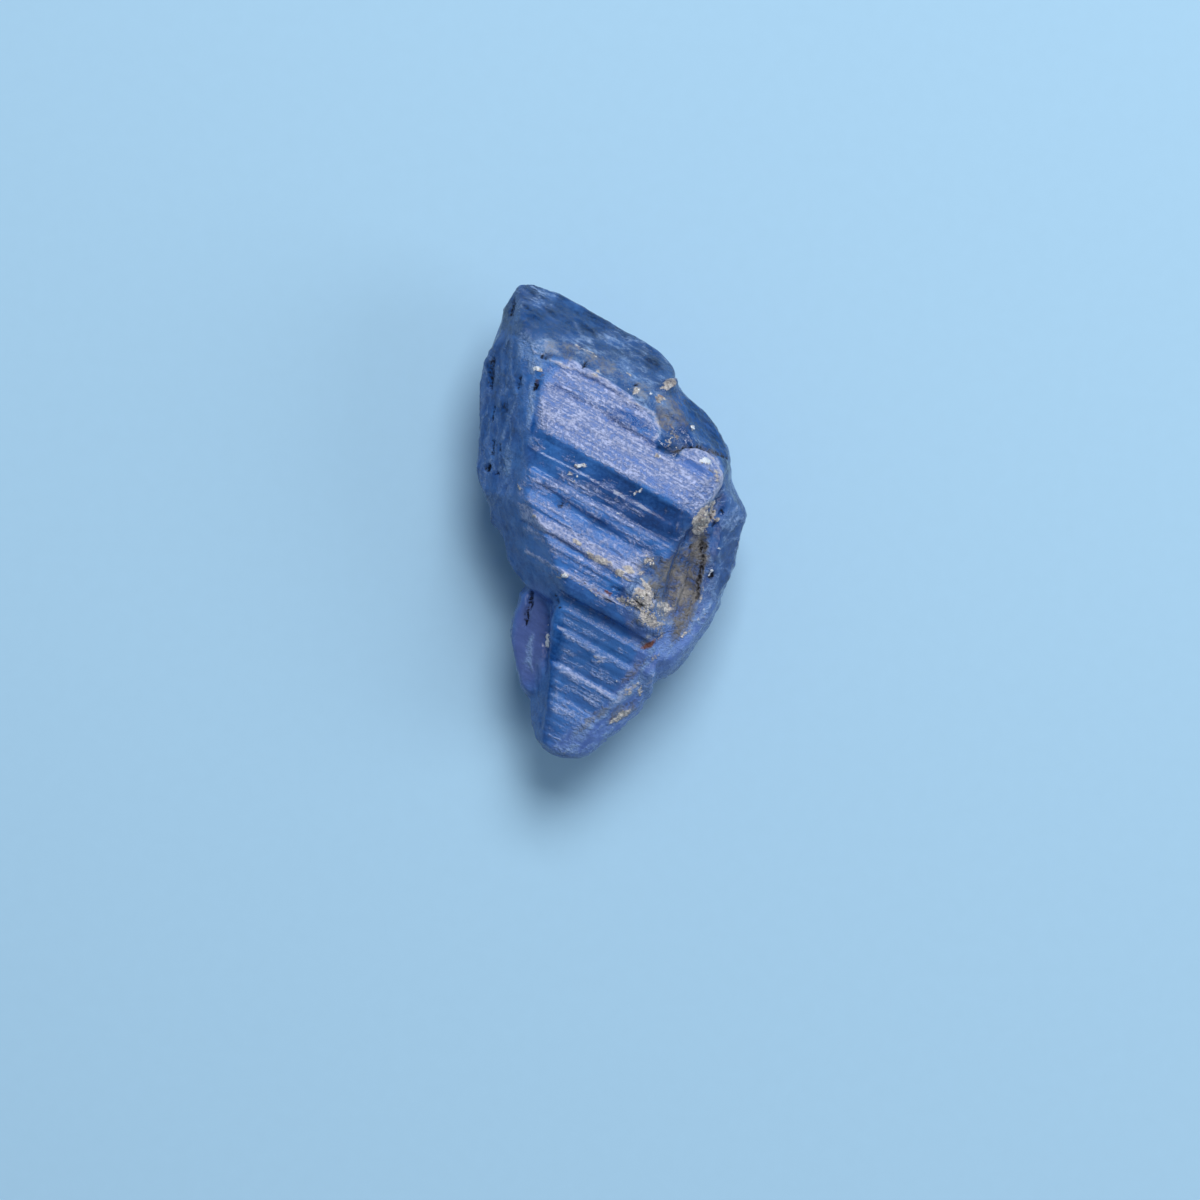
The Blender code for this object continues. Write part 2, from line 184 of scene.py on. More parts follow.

# Round and oval marks from the apex down: X, Y, half length, half width, turn in degrees, amount
# Pits, painted dark as shade in their hollows
PITS = [
    (-1.65, 4.1, 0.2, 0.08, -10, 0.7), (-0.67, 3.92, 0.13, 0.08, 70, 1.0),
    (0.62, 3.42, 0.1, 0.07, 0, 0.8), (-1.92, 3.37, 0.14, 0.08, 60, 1.0),
    (-2.63, 2.87, 0.18, 0.08, 80, 0.5), (-3.13, 1.36, 0.13, 0.11, 60, 1.2),
    (-2.86, 1.2, 0.06, 0.05, 0, 0.7), (-1.27, 0.38, 0.1, 0.07, -20, 0.8),
    (2.5, 0.25, 0.08, 0.07, 0, 0.8), (2.78, 0.25, 0.1, 0.07, 70, 0.8),
    (2.42, 0.12, 0.14, 0.07, -50, 0.9), (2.56, -0.05, 0.1, 0.07, 40, 0.9),
    (2.26, -0.6, 0.2, 0.08, 80, 0.7), (1.98, -0.61, 0.09, 0.07, 0, 0.6),
    (2.53, -1.36, 0.13, 0.1, 50, 1.0), (-0.72, -1.54, 0.1, 0.06, -20, 0.8),
    (0.1, -1.7, 0.16, 0.05, -30, 0.7), (1.02, -1.92, 0.12, 0.05, 60, 0.8),
    (-0.1, -1.98, 0.2, 0.05, -30, 0.7), (-2.06, -2.0, 0.26, 0.09, 88, 0.95),
    (0.72, -2.05, 0.16, 0.05, -60, 0.9),
]
# Pale crust, and painted highlights: the small white spots at (-1.02, 1.21), (-0.92, 1.0),
# (-0.84, 1.36), (-0.67, 1.4), (0.14, 0.17), (0.59, 0.7), (0.74, 0.8) and (1.98, 2.36) are
# sparkles painted as crust
CRUSTS_AND_SPARKLES = [
    (-0.84, 4.35, 0.16, 0.06, -40, 0.5), (-0.49, 4.17, 0.2, 0.05, -35, 0.5),
    (-1.8, 3.77, 0.11, 0.09, 0, 0.8), (-0.36, 3.75, 0.07, 0.05, -60, 0.9),
    (0.42, 3.65, 0.09, 0.04, -50, 0.9), (1.4, 3.42, 0.24, 0.15, 40, 1.0),
    (0.59, 3.24, 0.12, 0.08, 40, 0.9), (1.22, 3.09, 0.15, 0.08, -40, 0.85),
    (1.14, 3.04, 0.11, 0.07, -50, 1.0), (1.98, 2.36, 0.07, 0.05, -50, 0.8),
    (1.5, 2.26, 0.1, 0.07, -60, 0.9), (1.52, 2.24, 0.15, 0.08, -70, 0.7),
    (-0.3, 2.05, 0.05, 0.04, 0, 0.5), (1.6, 2.04, 0.13, 0.08, -60, 0.9),
    (1.57, 2.01, 0.09, 0.06, -60, 0.9), (1.37, 1.91, 0.16, 0.1, 0, 0.6),
    (0.2, 1.75, 0.05, 0.04, 0, 0.5), (1.14, 1.63, 0.08, 0.06, -60, 1.0),
    (2.33, 1.48, 0.13, 0.09, -30, 0.8), (-0.67, 1.4, 0.06, 0.05, 30, 1.0),
    (-0.84, 1.36, 0.07, 0.05, 0, 0.9), (-1.02, 1.21, 0.08, 0.05, -29, 0.9),
    (2.6, 1.13, 0.2, 0.06, -80, 0.7), (-0.92, 1.0, 0.06, 0.04, 0, 0.7),
    (3.15, 0.95, 0.1, 0.07, 40, 0.3), (-2.3, 0.85, 0.09, 0.04, -70, 0.7),
    (0.74, 0.8, 0.05, 0.04, 60, 0.8), (0.59, 0.7, 0.12, 0.035, 35, 0.8),
    (2.5, 0.45, 0.12, 0.07, 60, 0.7), (2.28, 0.3, 0.15, 0.08, 40, 0.9),
    (0.14, 0.17, 0.06, 0.04, 0, 0.7), (-1.92, 0.12, 0.08, 0.05, 0, 0.7),
    (2.35, 0.1, 0.36, 0.2, 40, 0.85), (2.63, 0.05, 0.12, 0.08, 30, 0.9),
    (2.15, -0.02, 0.3, 0.18, 80, 1.0), (3.24, -0.52, 0.16, 0.07, 80, 0.4),
    (-0.87, -0.53, 0.2, 0.07, -32, 0.8), (-0.5, -0.86, 0.2, 0.09, -35, 0.8),
    (-0.2, -0.98, 0.34, 0.1, -30, 0.7), (0.92, -1.02, 0.16, 0.1, -20, 0.8),
    (0.42, -1.22, 0.2, 0.1, -30, 0.75), (0.16, -1.28, 0.17, 0.09, -35, 0.8),
    (0.77, -1.3, 0.14, 0.1, 0, 0.6), (-1.17, -1.36, 0.12, 0.05, -20, 1.0),
    (-1.32, -1.4, 0.1, 0.04, -29, 0.6), (0.42, -1.46, 0.18, 0.05, -20, 0.7),
    (0.86, -1.6, 0.24, 0.06, -45, 0.8), (2.26, -1.8, 0.3, 0.05, 76, 0.6),
    (0.72, -1.9, 0.34, 0.26, 20, 0.8), (0.34, -2.02, 0.26, 0.14, -30, 0.72),
    (1.3, -2.12, 0.28, 0.15, -25, 0.66), (0.88, -2.4, 0.34, 0.2, -60, 0.85),
    (2.22, -2.4, 0.22, 0.05, 40, 0.4), (1.1, -2.6, 0.24, 0.15, 10, 0.68),
    (1.86, -2.78, 0.22, 0.05, 55, 0.7), (1.2, -2.85, 0.26, 0.14, 30, 0.65),
    (1.05, -3.4, 0.22, 0.08, 30, 0.6), (-0.34, -3.45, 0.2, 0.12, -10, 0.5),
    (0.17, -3.98, 0.05, 0.04, 0, 0.7), (0.45, -4.2, 0.36, 0.09, 41, 0.62),
    (0.74, -4.2, 0.18, 0.08, 70, 0.6), (0.3, -4.8, 0.22, 0.11, 20, 0.74),
    (0.1, -4.95, 0.26, 0.08, 30, 0.68),
]
DIRTS = [
    (-1.3, 4.3, 0.55, 0.24, -10, 0.7), (-1.3, 4.12, 0.5, 0.12, -15, 0.7),
    (-0.3, 3.98, 0.6, 0.2, -28, 0.75), (-0.4, 3.9, 0.75, 0.14, -28, 0.6),
    (0.35, 3.52, 0.4, 0.12, -35, 0.6), (-1.8, 3.5, 0.26, 0.12, 60, 0.6),
    (0.75, 3.3, 0.36, 0.24, -30, 0.7), (1.7, 3.1, 0.3, 0.16, -60, 0.5),
    (1.6, 2.7, 0.6, 0.22, -60, 0.75), (1.3, 2.5, 0.6, 0.26, -60, 0.85),
    (2.45, 0.2, 0.42, 0.3, 60, 0.7), (2.15, -0.35, 0.4, 0.26, 60, 0.8),
    (1.25, -1.15, 0.55, 0.28, -30, 1.08), (2.26, -1.15, 0.6, 0.1, 80, 1.3),
    (2.02, -1.25, 1.35, 0.38, 74, 1.1), (0.95, -1.35, 0.5, 0.26, -40, 0.72),
    (1.45, -1.35, 0.5, 0.36, 60, 0.95), (1.66, -1.55, 1.2, 0.5, 74, 1.0),
    (1.15, -1.75, 0.42, 0.28, -40, 1.05), (2.14, -1.8, 0.5, 0.09, 74, 1.3),
    (1.45, -1.9, 0.55, 0.4, 40, 0.75), (1.5, -1.9, 0.95, 0.55, 60, 0.72),
    (0.35, -1.95, 0.26, 0.12, -10, 0.8), (0.8, -2.1, 0.46, 0.32, -60, 0.8),
    (1.78, -2.45, 0.75, 0.28, 62, 1.05), (0.6, -2.55, 0.4, 0.16, 10, 0.7),
    (1.05, -2.85, 0.6, 0.22, 40, 0.6), (0.55, -3.75, 0.62, 0.14, 48, 0.72),
    (0.3, -4.75, 0.55, 0.24, 35, 0.8), (-0.45, -4.92, 0.75, 0.13, 40, 0.72),
    (-1.25, -5.9, 0.3, 0.12, -5, 0.5),
]
RUSTS = [
    (-0.95, 4.34, 0.22, 0.08, -35, 0.4), (-0.6, 4.0, 0.1, 0.07, 0, 0.6),
    (-1.86, 3.46, 0.14, 0.07, 60, 0.7), (1.2, 3.12, 0.12, 0.06, 0, 0.7),
    (1.5, 2.3, 0.12, 0.07, -60, 0.8), (0.7, -1.75, 0.12, 0.07, 0, 0.4),
    (-0.35, -1.78, 0.22, 0.05, -28, 0.6), (-0.1, -1.78, 0.14, 0.05, -30, 0.9),
    (0.92, -3.08, 0.27, 0.09, 38, 1.15), (-0.15, -4.98, 0.5, 0.1, 38, 0.35),
]

# Soft pale patches, with the same six values
HAZES = [
    (-2.15, 4.33, 0.5, 0.22, 100, 0.5), (-1.67, 4.33, 0.45, 0.26, 0, 0.5),
    (-1.9, 3.95, 0.28, 0.22, 60, 0.7), (-3.24, 3.6, 0.9, 0.08, 90, 0.35),
    (-2.02, 2.89, 0.55, 0.1, 86, 0.75), (1.4, 2.7, 0.6, 0.2, -60, 0.4),
    (-1.05, 2.35, 0.8, 0.16, -30, 0.3), (-1.85, 1.9, 0.3, 0.14, -30, 0.4),
    (-2.59, 1.56, 0.45, 0.1, 85, 0.45), (-0.95, 0.92, 0.6, 0.1, -30, 0.4),
    (0.15, 0.18, 0.5, 0.05, -30, 0.45), (3.05, 0.15, 0.4, 0.2, 60, 0.45),
    (0.75, -1.0, 0.4, 0.26, -30, 0.4), (2.45, -1.8, 0.7, 0.18, 74, 0.35),
    (0.75, -1.82, 0.26, 0.16, 60, 0.8), (0.95, -2.1, 0.8, 0.5, -60, 0.62),
    (1.17, -2.22, 0.3, 0.15, 20, 0.6), (1.6, -2.7, 0.7, 0.3, 40, 0.4),
    (1.95, -2.9, 0.6, 0.22, 48, 0.25), (1.45, -3.1, 0.5, 0.3, 45, 0.32),
    (-2.06, -3.25, 0.5, 0.1, 84, 0.45), (-0.3, -3.46, 0.2, 0.13, -10, 0.75),
    (1.0, -4.05, 0.36, 0.16, 70, 0.7), (0.4, -4.24, 0.6, 0.16, 41, 0.75),
    (0.3, -4.85, 0.3, 0.12, 20, 0.7), (-0.55, -5.07, 0.65, 0.13, 41, 0.65),
]
# Painted highlights: tiny bright glints laid on the surface as white spots, with the same six
# values
GLINTS = [
    (-1.87, 3.8, 0.1, 0.08, 0, 1.1), (-0.4, 3.76, 0.05, 0.04, -60, 1.1),
    (0.62, 3.24, 0.08, 0.05, 40, 1.1), (0.98, 3.2, 0.05, 0.04, 0, 1.0),
    (2.0, 2.34, 0.07, 0.05, -50, 1.2), (1.2, 1.61, 0.08, 0.06, -60, 1.3),
    (-0.94, 1.58, 0.04, 0.03, 0, 0.9), (2.33, 1.48, 0.16, 0.09, -25, 1.4),
    (-0.67, 1.38, 0.07, 0.06, 0, 1.3), (-0.82, 1.36, 0.09, 0.06, 20, 1.3),
    (-1.04, 1.31, 0.06, 0.04, 30, 1.2), (-1.09, 1.16, 0.07, 0.06, 0, 1.2),
    (-0.84, 1.11, 0.05, 0.05, 0, 1.0), (-0.99, 1.0, 0.05, 0.04, 0, 1.0),
    (0.7, 0.76, 0.06, 0.04, 60, 1.2), (0.56, 0.68, 0.1, 0.03, 25, 1.2),
    (0.14, 0.17, 0.05, 0.04, 0, 1.1), (2.68, -0.68, 0.05, 0.04, 0, 1.1),
    (-0.55, -0.7, 0.05, 0.03, -30, 1.0), (2.5, -1.28, 0.08, 0.04, 70, 1.3),
    (-1.17, -1.36, 0.08, 0.05, -20, 1.3), (0.3, -1.45, 0.06, 0.04, 0, 1.0),
    (2.3, -2.19, 0.04, 0.04, 0, 1.0), (-1.6, -2.62, 0.05, 0.03, 90, 1.0),
    (-1.6, -2.98, 0.24, 0.06, 88, 1.6), (0.13, -3.96, 0.06, 0.05, 0, 1.0),
]
# Clear places in the frost, with the same six values
CLEARINGS = [
    (2.35, 2.6, 1.05, 0.5, -60, 1.0), (0.48, 2.5, 0.68, 0.2, -24, 0.3),
    (2.84, 1.35, 0.6, 0.14, -75, 0.8), (2.05, 1.3, 0.34, 0.2, -30, 0.45),
    (2.5, 1.18, 0.14, 0.06, 40, 0.7), (1.15, 0.75, 0.55, 0.3, -29, 0.25),
    (1.1, 0.2, 0.5, 0.22, -29, 0.6),
]
# Larger places with the same six values: where the stone is clear, thin, blue or violet, and
# where a painted glow lightens it
RIGHT_WINDOW = (2.35, 2.6, 1.2, 0.6, -60, 1.0)
BAND_DEEP = (0.48, 2.5, 0.8, 0.24, -24, 0.9)
BAND_BLUE = (0.48, 2.5, 0.8, 0.26, -24, 0.9)
BAND_CLOUDED = (0.48, 2.5, 0.9, 0.34, -24, 0.9)
# A painted glow of light through the crystal: the body is lighter azure here
INNER_GLOW = (0.84, 0.96, 0.22, 0.12, -29, 0.7)
FLAKE = (-2.05, -2.95, 1.35, 0.5, 84, 1.0)
THIN_TIP = (-0.4, -3.6, 1.9, 1.1, -60, 0.4)
TIP_RIM = [(0.2, -5.05, 1.6, 0.42, 38, 0.65), (-0.75, -5.65, 0.9, 0.35, 0, 0.5)]
# The roof's lower edge, where frost gathers
ROOF_EDGE = [(-2.0, 4.4), (-0.9, 4.2), (0.3, 3.75), (1.1, 3.0)]
# Rounded swellings: X, Y, half length, half width, turn in degrees, height
SWELLINGS = [
    (1.42, 3.4, 0.26, 0.18, 40, 0.08), (1.55, 2.15, 0.42, 0.26, -50, 0.12),
    (2.35, -0.05, 0.4, 0.22, 70, 0.08), (0.95, -1.0, 0.24, 0.16, -30, 0.08),
    (1.7, -1.4, 0.95, 0.16, 76, 0.14), (0.66, -1.95, 0.45, 0.32, -30, 0.12),
    (0.9, -2.45, 0.4, 0.26, -50, 0.1),
]

# Heaps of loose crumbs: X, Y, half length, half width, turn in degrees, how many, size
CRUMB_HEAPS = [
    (0.66, -1.97, 0.36, 0.22, 20, 60, 0.034), (0.92, -2.36, 0.3, 0.22, -60, 46, 0.031),
    (0.94, -1.04, 0.18, 0.12, -30, 17, 0.028), (2.3, -0.05, 0.34, 0.18, 70, 43, 0.034),
    (2.45, 0.36, 0.22, 0.14, 60, 18, 0.028), (1.45, 3.42, 0.16, 0.1, 40, 8, 0.025),
    (1.55, 2.1, 0.24, 0.12, -65, 18, 0.026), (0.58, 3.3, 0.16, 0.1, 10, 10, 0.022),
    (-0.66, -0.72, 0.4, 0.08, -33, 18, 0.022), (-1.17, -1.35, 0.12, 0.05, -20, 7, 0.021),
    (-0.45, -1.78, 0.36, 0.06, -30, 12, 0.02), (0.22, -1.34, 0.22, 0.08, -35, 10, 0.024),
    (1.2, -2.4, 0.3, 0.26, 10, 30, 0.028), (0.74, -4.25, 0.14, 0.08, 70, 7, 0.025),
    (2.36, 1.46, 0.16, 0.1, -30, 7, 0.025),
]

# Worn lines where the solid's sharp edges are rounded off: points, half width
WORN_LINES = [
    ([(2.25, -0.25), (1.98, -0.7), (1.74, -1.25), (1.62, -1.8), (1.66, -2.35)], 0.3),
    ([(2.3, -0.55), (2.26, -1.0), (2.2, -1.5), (2.08, -2.0)], 0.12),
    ([(-2.0, -1.9), (-1.9, -2.6), (-1.85, -3.4)], 0.15),
]

# Healed cracks sealed inside: X, Y, depth under the surface, half length, half width, turn
VEILS = [
    (0.95, 0.62, 0.22, 0.3, 0.14, -29), (-0.35, 0.98, 0.2, 0.26, 0.1, -40),
    (-1.45, 5.0, 0.24, 0.3, 0.16, -60), (0.05, 4.3, 0.22, 0.34, 0.15, -20),
    (2.25, 2.6, 0.26, 0.34, 0.14, -60), (-0.5, -3.55, 0.22, 0.26, 0.12, -35),
    (-0.7, -4.5, 0.24, 0.24, 0.1, 20), (-2.05, -3.1, 0.2, 0.3, 0.1, 84),
]

# What the mesh tells the material at each vertex
FINISHES = (
    "frost", "deep", "clear", "violet", "etched", "crust", "dirt", "rust", "dark", "glint",
)


def linear(code):
    """The linear red, green and blue of an sRGB hex colour."""
    parts = [int(code[i:i + 2], 16) / 255.0 for i in (1, 3, 5)]
    return tuple(p / 12.92 if p <= 0.04045 else ((p + 0.055) / 1.055) ** 2.4 for p in parts)


def colour_setting(name, description, code):
    """A colour that the user can change, with its default given in hex."""
    return bpy.props.FloatVectorProperty(
        name=name, description=description, subtype="COLOR", size=3, min=0.0, max=1.0,
        default=linear(code))


def share_setting(name, description, default):
    """An amount from nothing to all that the user can change."""
    return bpy.props.FloatProperty(
        name=name, description=description, default=default, min=0.0, max=1.0,
        subtype="FACTOR")


class CrystalSettings(bpy.types.PropertyGroup):
    """Sizes and colours of the crystal's own surface."""

    depth_colour: colour_setting("Deep blue", "Body colour of the clean, clear breaks", "#0D4B92")
    azure_colour: colour_setting("Azure", "Lighter blue clouds in the body", "#4079C2")
    violet_colour: colour_setting("Violet", "Colour of the flake and the lower tip", "#6A82CA")
    frost_colour: colour_setting("Frost", "Colour of the frosted striated bands", "#A0AACE")
    # Palest frost on the sharpest ridges, partly a painted highlight along their crests
    rime_and_highlight_colour: colour_setting("Rime", "Palest frost, on the sharpest ridges", "#BCC0DC")
    haze_colour: colour_setting("Haze", "Scattering on the glassy breaks", "#80A2D0")
    film_colour: colour_setting("Dirt film", "Grey-brown dirt held in the hollows", "#6F6C6B")
    # Also painted highlights: this colour is laid on the sparkles and on the sharpest ridge
    # crests
    crust_colour: colour_setting("Crust", "Pale crust on the broken edges", "#E0DAD6")
    gap_colour: colour_setting("Gaps", "Brown dirt between the grains of crust", "#554644")
    rust_colour: colour_setting("Rust", "Iron stain", "#7A5048")
    # Painted shade: near-black laid in the bottoms of pits, slits and grooves
    pit_shade_colour: colour_setting("Pits", "Dark bottoms of pits and slits", "#15151F")
    # Painted highlights: the colour of the tiny white glints
    glint_colour: colour_setting("Bright spots", "Tiny white broken grains", "#E6EAF2")
    absorb_colour: colour_setting("Absorbed tint", "What is left of light inside", "#28B4F0")
    absorb_density: bpy.props.FloatProperty(
        name="Absorption", description="How strongly the crystal takes up light, per metre",
        default=450.0, min=0.0)
    clarity: share_setting("Clarity", "How much light passes the clean breaks", 0.80)
    grain_step: bpy.props.FloatProperty(
        name="Mesh step", description="Spacing of the mesh across the striations",
        default=0.039 * MM, min=0.02 * MM, precision=6, subtype="DISTANCE", unit="LENGTH")


class CrumbSettings(bpy.types.PropertyGroup):
    """The loose crumbs of the crust."""

    size_factor: bpy.props.FloatProperty(
        name="Crumb size", description="Size of the crumbs against the drawn ones",
        default=1.0, min=0.2, max=3.0)
    crumb_colour: colour_setting("Crumbs", "Colour of the loose crumbs", "#D2CDC6")


class VeilSettings(bpy.types.PropertyGroup):
    """The healed cracks sealed inside the crystal."""

    veil_depth: bpy.props.FloatProperty(
        name="Depth factor", description="Depth of the cracks against the drawn ones",
        default=1.0, min=0.5, max=2.0)
    veil_colour: colour_setting("Veils", "Pale film on the healed cracks", "#9FB6E0")


class StageSettings(bpy.types.PropertyGroup):
    """The floor, the lights and the camera."""

    floor_colour: colour_setting("Floor", "Colour of the plain floor", "#A9CFE8")
    key_power: bpy.props.FloatProperty(
        name="Main light", description="Power of the soft light above the apex",
        default=0.34, min=0.0, unit="POWER")
    sky_strength: bpy.props.FloatProperty(
        name="Room light", description="Brightness of the room around", default=0.26, min=0.0)


def lattice(cells, seed):
    """A fixed random number from -1 to 1 for each cell of an endless grid."""
    a, b, c = (cells[:, i].astype(np.uint64) for i in range(3))
    mixed = a * np.uint64(374761393) + b * np.uint64(668265263) + c * np.uint64(2246822519)
    mixed = mixed + np.uint64(seed * 3266489917)
    mixed = (mixed ^ (mixed >> np.uint64(13))) * np.uint64(1274126177)
    mixed = mixed ^ (mixed >> np.uint64(16))
    return (mixed & np.uint64(0xFFFF)).astype(float) / 32767.5 - 1.0


def mottle(points, size, seed):
    """Smooth random patches of about this size, from -1 to 1."""
    scaled = points / np.asarray(size, dtype=float)
    base = np.floor(scaled)
    part = scaled - base
    part = part * part * (3.0 - 2.0 * part)
    cells = base.astype(np.int64)
    total = np.zeros(len(points))
    for corner in itertools.product((0, 1), repeat=3):
        step = np.array(corner)
        share = np.prod(np.where(step == 1, part, 1.0 - part), axis=1)
        total += share * lattice(cells + step, seed)
    return total


def rough(points, size, seed, layers=3):
    """Patches with smaller patches on them."""
    total = np.zeros(len(points))
    for i in range(layers):
        total += mottle(points, np.asarray(size, dtype=float) / 2 ** i, seed + i) / 2 ** i
    return total / 1.6


def ease(values, low, high):
    """0 below low and 1 above high, with a soft step between."""
    part = np.clip((values - low) / (high - low), 0.0, 1.0)
    return part * part * (3.0 - 2.0 * part)


def along_table(values, table):
    """Reads a table of pairs at each value."""
    keys, results = zip(*sorted(table))
    return np.interp(values, keys, results)


def turned(points, turn):
    """The same places measured from axes turned by this many degrees."""
    angle = math.radians(turn)
    result = points.copy()
    result[:, 0] = points[:, 0] * math.cos(angle) + points[:, 1] * math.sin(angle)
    result[:, 1] = points[:, 1] * math.cos(angle) - points[:, 0] * math.sin(angle)
    return result


def drift(points, size, seeds, amount):
    """A small random push in X and Y, which makes a drawn edge uneven."""
    return np.stack([rough(points, size, seed) for seed in seeds], axis=1) * amount


def on_line(spots, path, half_width):
    """1 on a drawn line, fading to 0 over its width."""
    nearest = np.full(len(spots), 1e9)
    for start, end in zip(np.array(path), np.array(path)[1:]):
        run = end - start
        part = np.clip((spots - start) @ run / (run @ run), 0.0, 1.0)
        gap = spots - start - part[:, None] * run
        nearest = np.minimum(nearest, np.hypot(gap[:, 0], gap[:, 1]))
    return np.exp(-(nearest / half_width) ** 2)


def on_mark(spots, mark):
    """1 in the middle of an oval mark, falling to 0 past its rim."""
    x, y, half_length, half_width, turn, amount = mark
    away = turned(spots - (x, y), turn) / (half_length, half_width)
    return amount * (1.0 - ease(np.hypot(away[:, 0], away[:, 1]), 0.55, 1.25))


def most_of(spots, marks):
    """The strongest of several oval marks at each spot."""
    total = np.zeros(len(spots))
    for mark in marks:
        total = np.maximum(total, on_mark(spots, mark))
    return total


def solid_of_node():
    """Corners in millimetres and triangles of the crystal's solid."""
    bm = bmesh.new()
    bm.from_mesh(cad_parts[NODE].data)
    bmesh.ops.remove_doubles(bm, verts=bm.verts, dist=0.0005 * MM)
    bmesh.ops.triangulate(bm, faces=bm.faces)
    corners = np.array([v.co[:] for v in bm.verts]) / MM
    triangles = [[v.index for v in face.verts] for face in bm.faces]
    bm.free()
    return corners, triangles


def even_mesh(grain_step):
    """The solid covered with an even mesh, finest across the striations."""
    steps = np.array([grain_step * 1.9, grain_step, grain_step * 1.3]) / MM
    corners, triangles = solid_of_node()
    mesh = bpy.data.meshes.new("crystal_grid")
    mesh.from_pydata((turned(corners, GRAIN_TURN) / steps).tolist(), [], triangles)
    guide = bpy.data.objects.new("crystal_grid", mesh)
    bpy.context.scene.collection.objects.link(guide)
    remesh = guide.modifiers.new("even", "REMESH")
    remesh.mode = "VOXEL"
    remesh.voxel_size = 1.0
    soften = guide.modifiers.new("soften", "SMOOTH")
    soften.factor = 0.5
    soften.iterations = SMOOTH_ROUNDS
    bpy.context.view_layer.update()
    depsgraph = bpy.context.evaluated_depsgraph_get()
    result = bpy.data.meshes.new_from_object(guide.evaluated_get(depsgraph))
    bpy.data.objects.remove(guide, do_unlink=True)
    bpy.data.meshes.remove(mesh)
    place_points(result, turned(points_of(result) * steps, -GRAIN_TURN))
    return result


def points_of(mesh):
    """Every vertex of a mesh as rows of numbers."""
    flat = np.empty(len(mesh.vertices) * 3)
    mesh.vertices.foreach_get("co", flat)
    return flat.reshape(-1, 3)


def normals_of(mesh):
    """The surface direction at every vertex."""
    flat = np.empty(len(mesh.vertices) * 3)
    mesh.vertex_normals.foreach_get("vector", flat)
    return flat.reshape(-1, 3)


def place_points(mesh, points):
    """Moves every vertex of a mesh."""
    mesh.vertices.foreach_set("co", points.astype(np.float32).ravel())
    mesh.update()


def store(mesh, name, values):
    """Keeps one number per vertex for the material to read."""
    layer = mesh.attributes.new(name, "FLOAT", "POINT")
    layer.data.foreach_set("value", values.astype(np.float32))


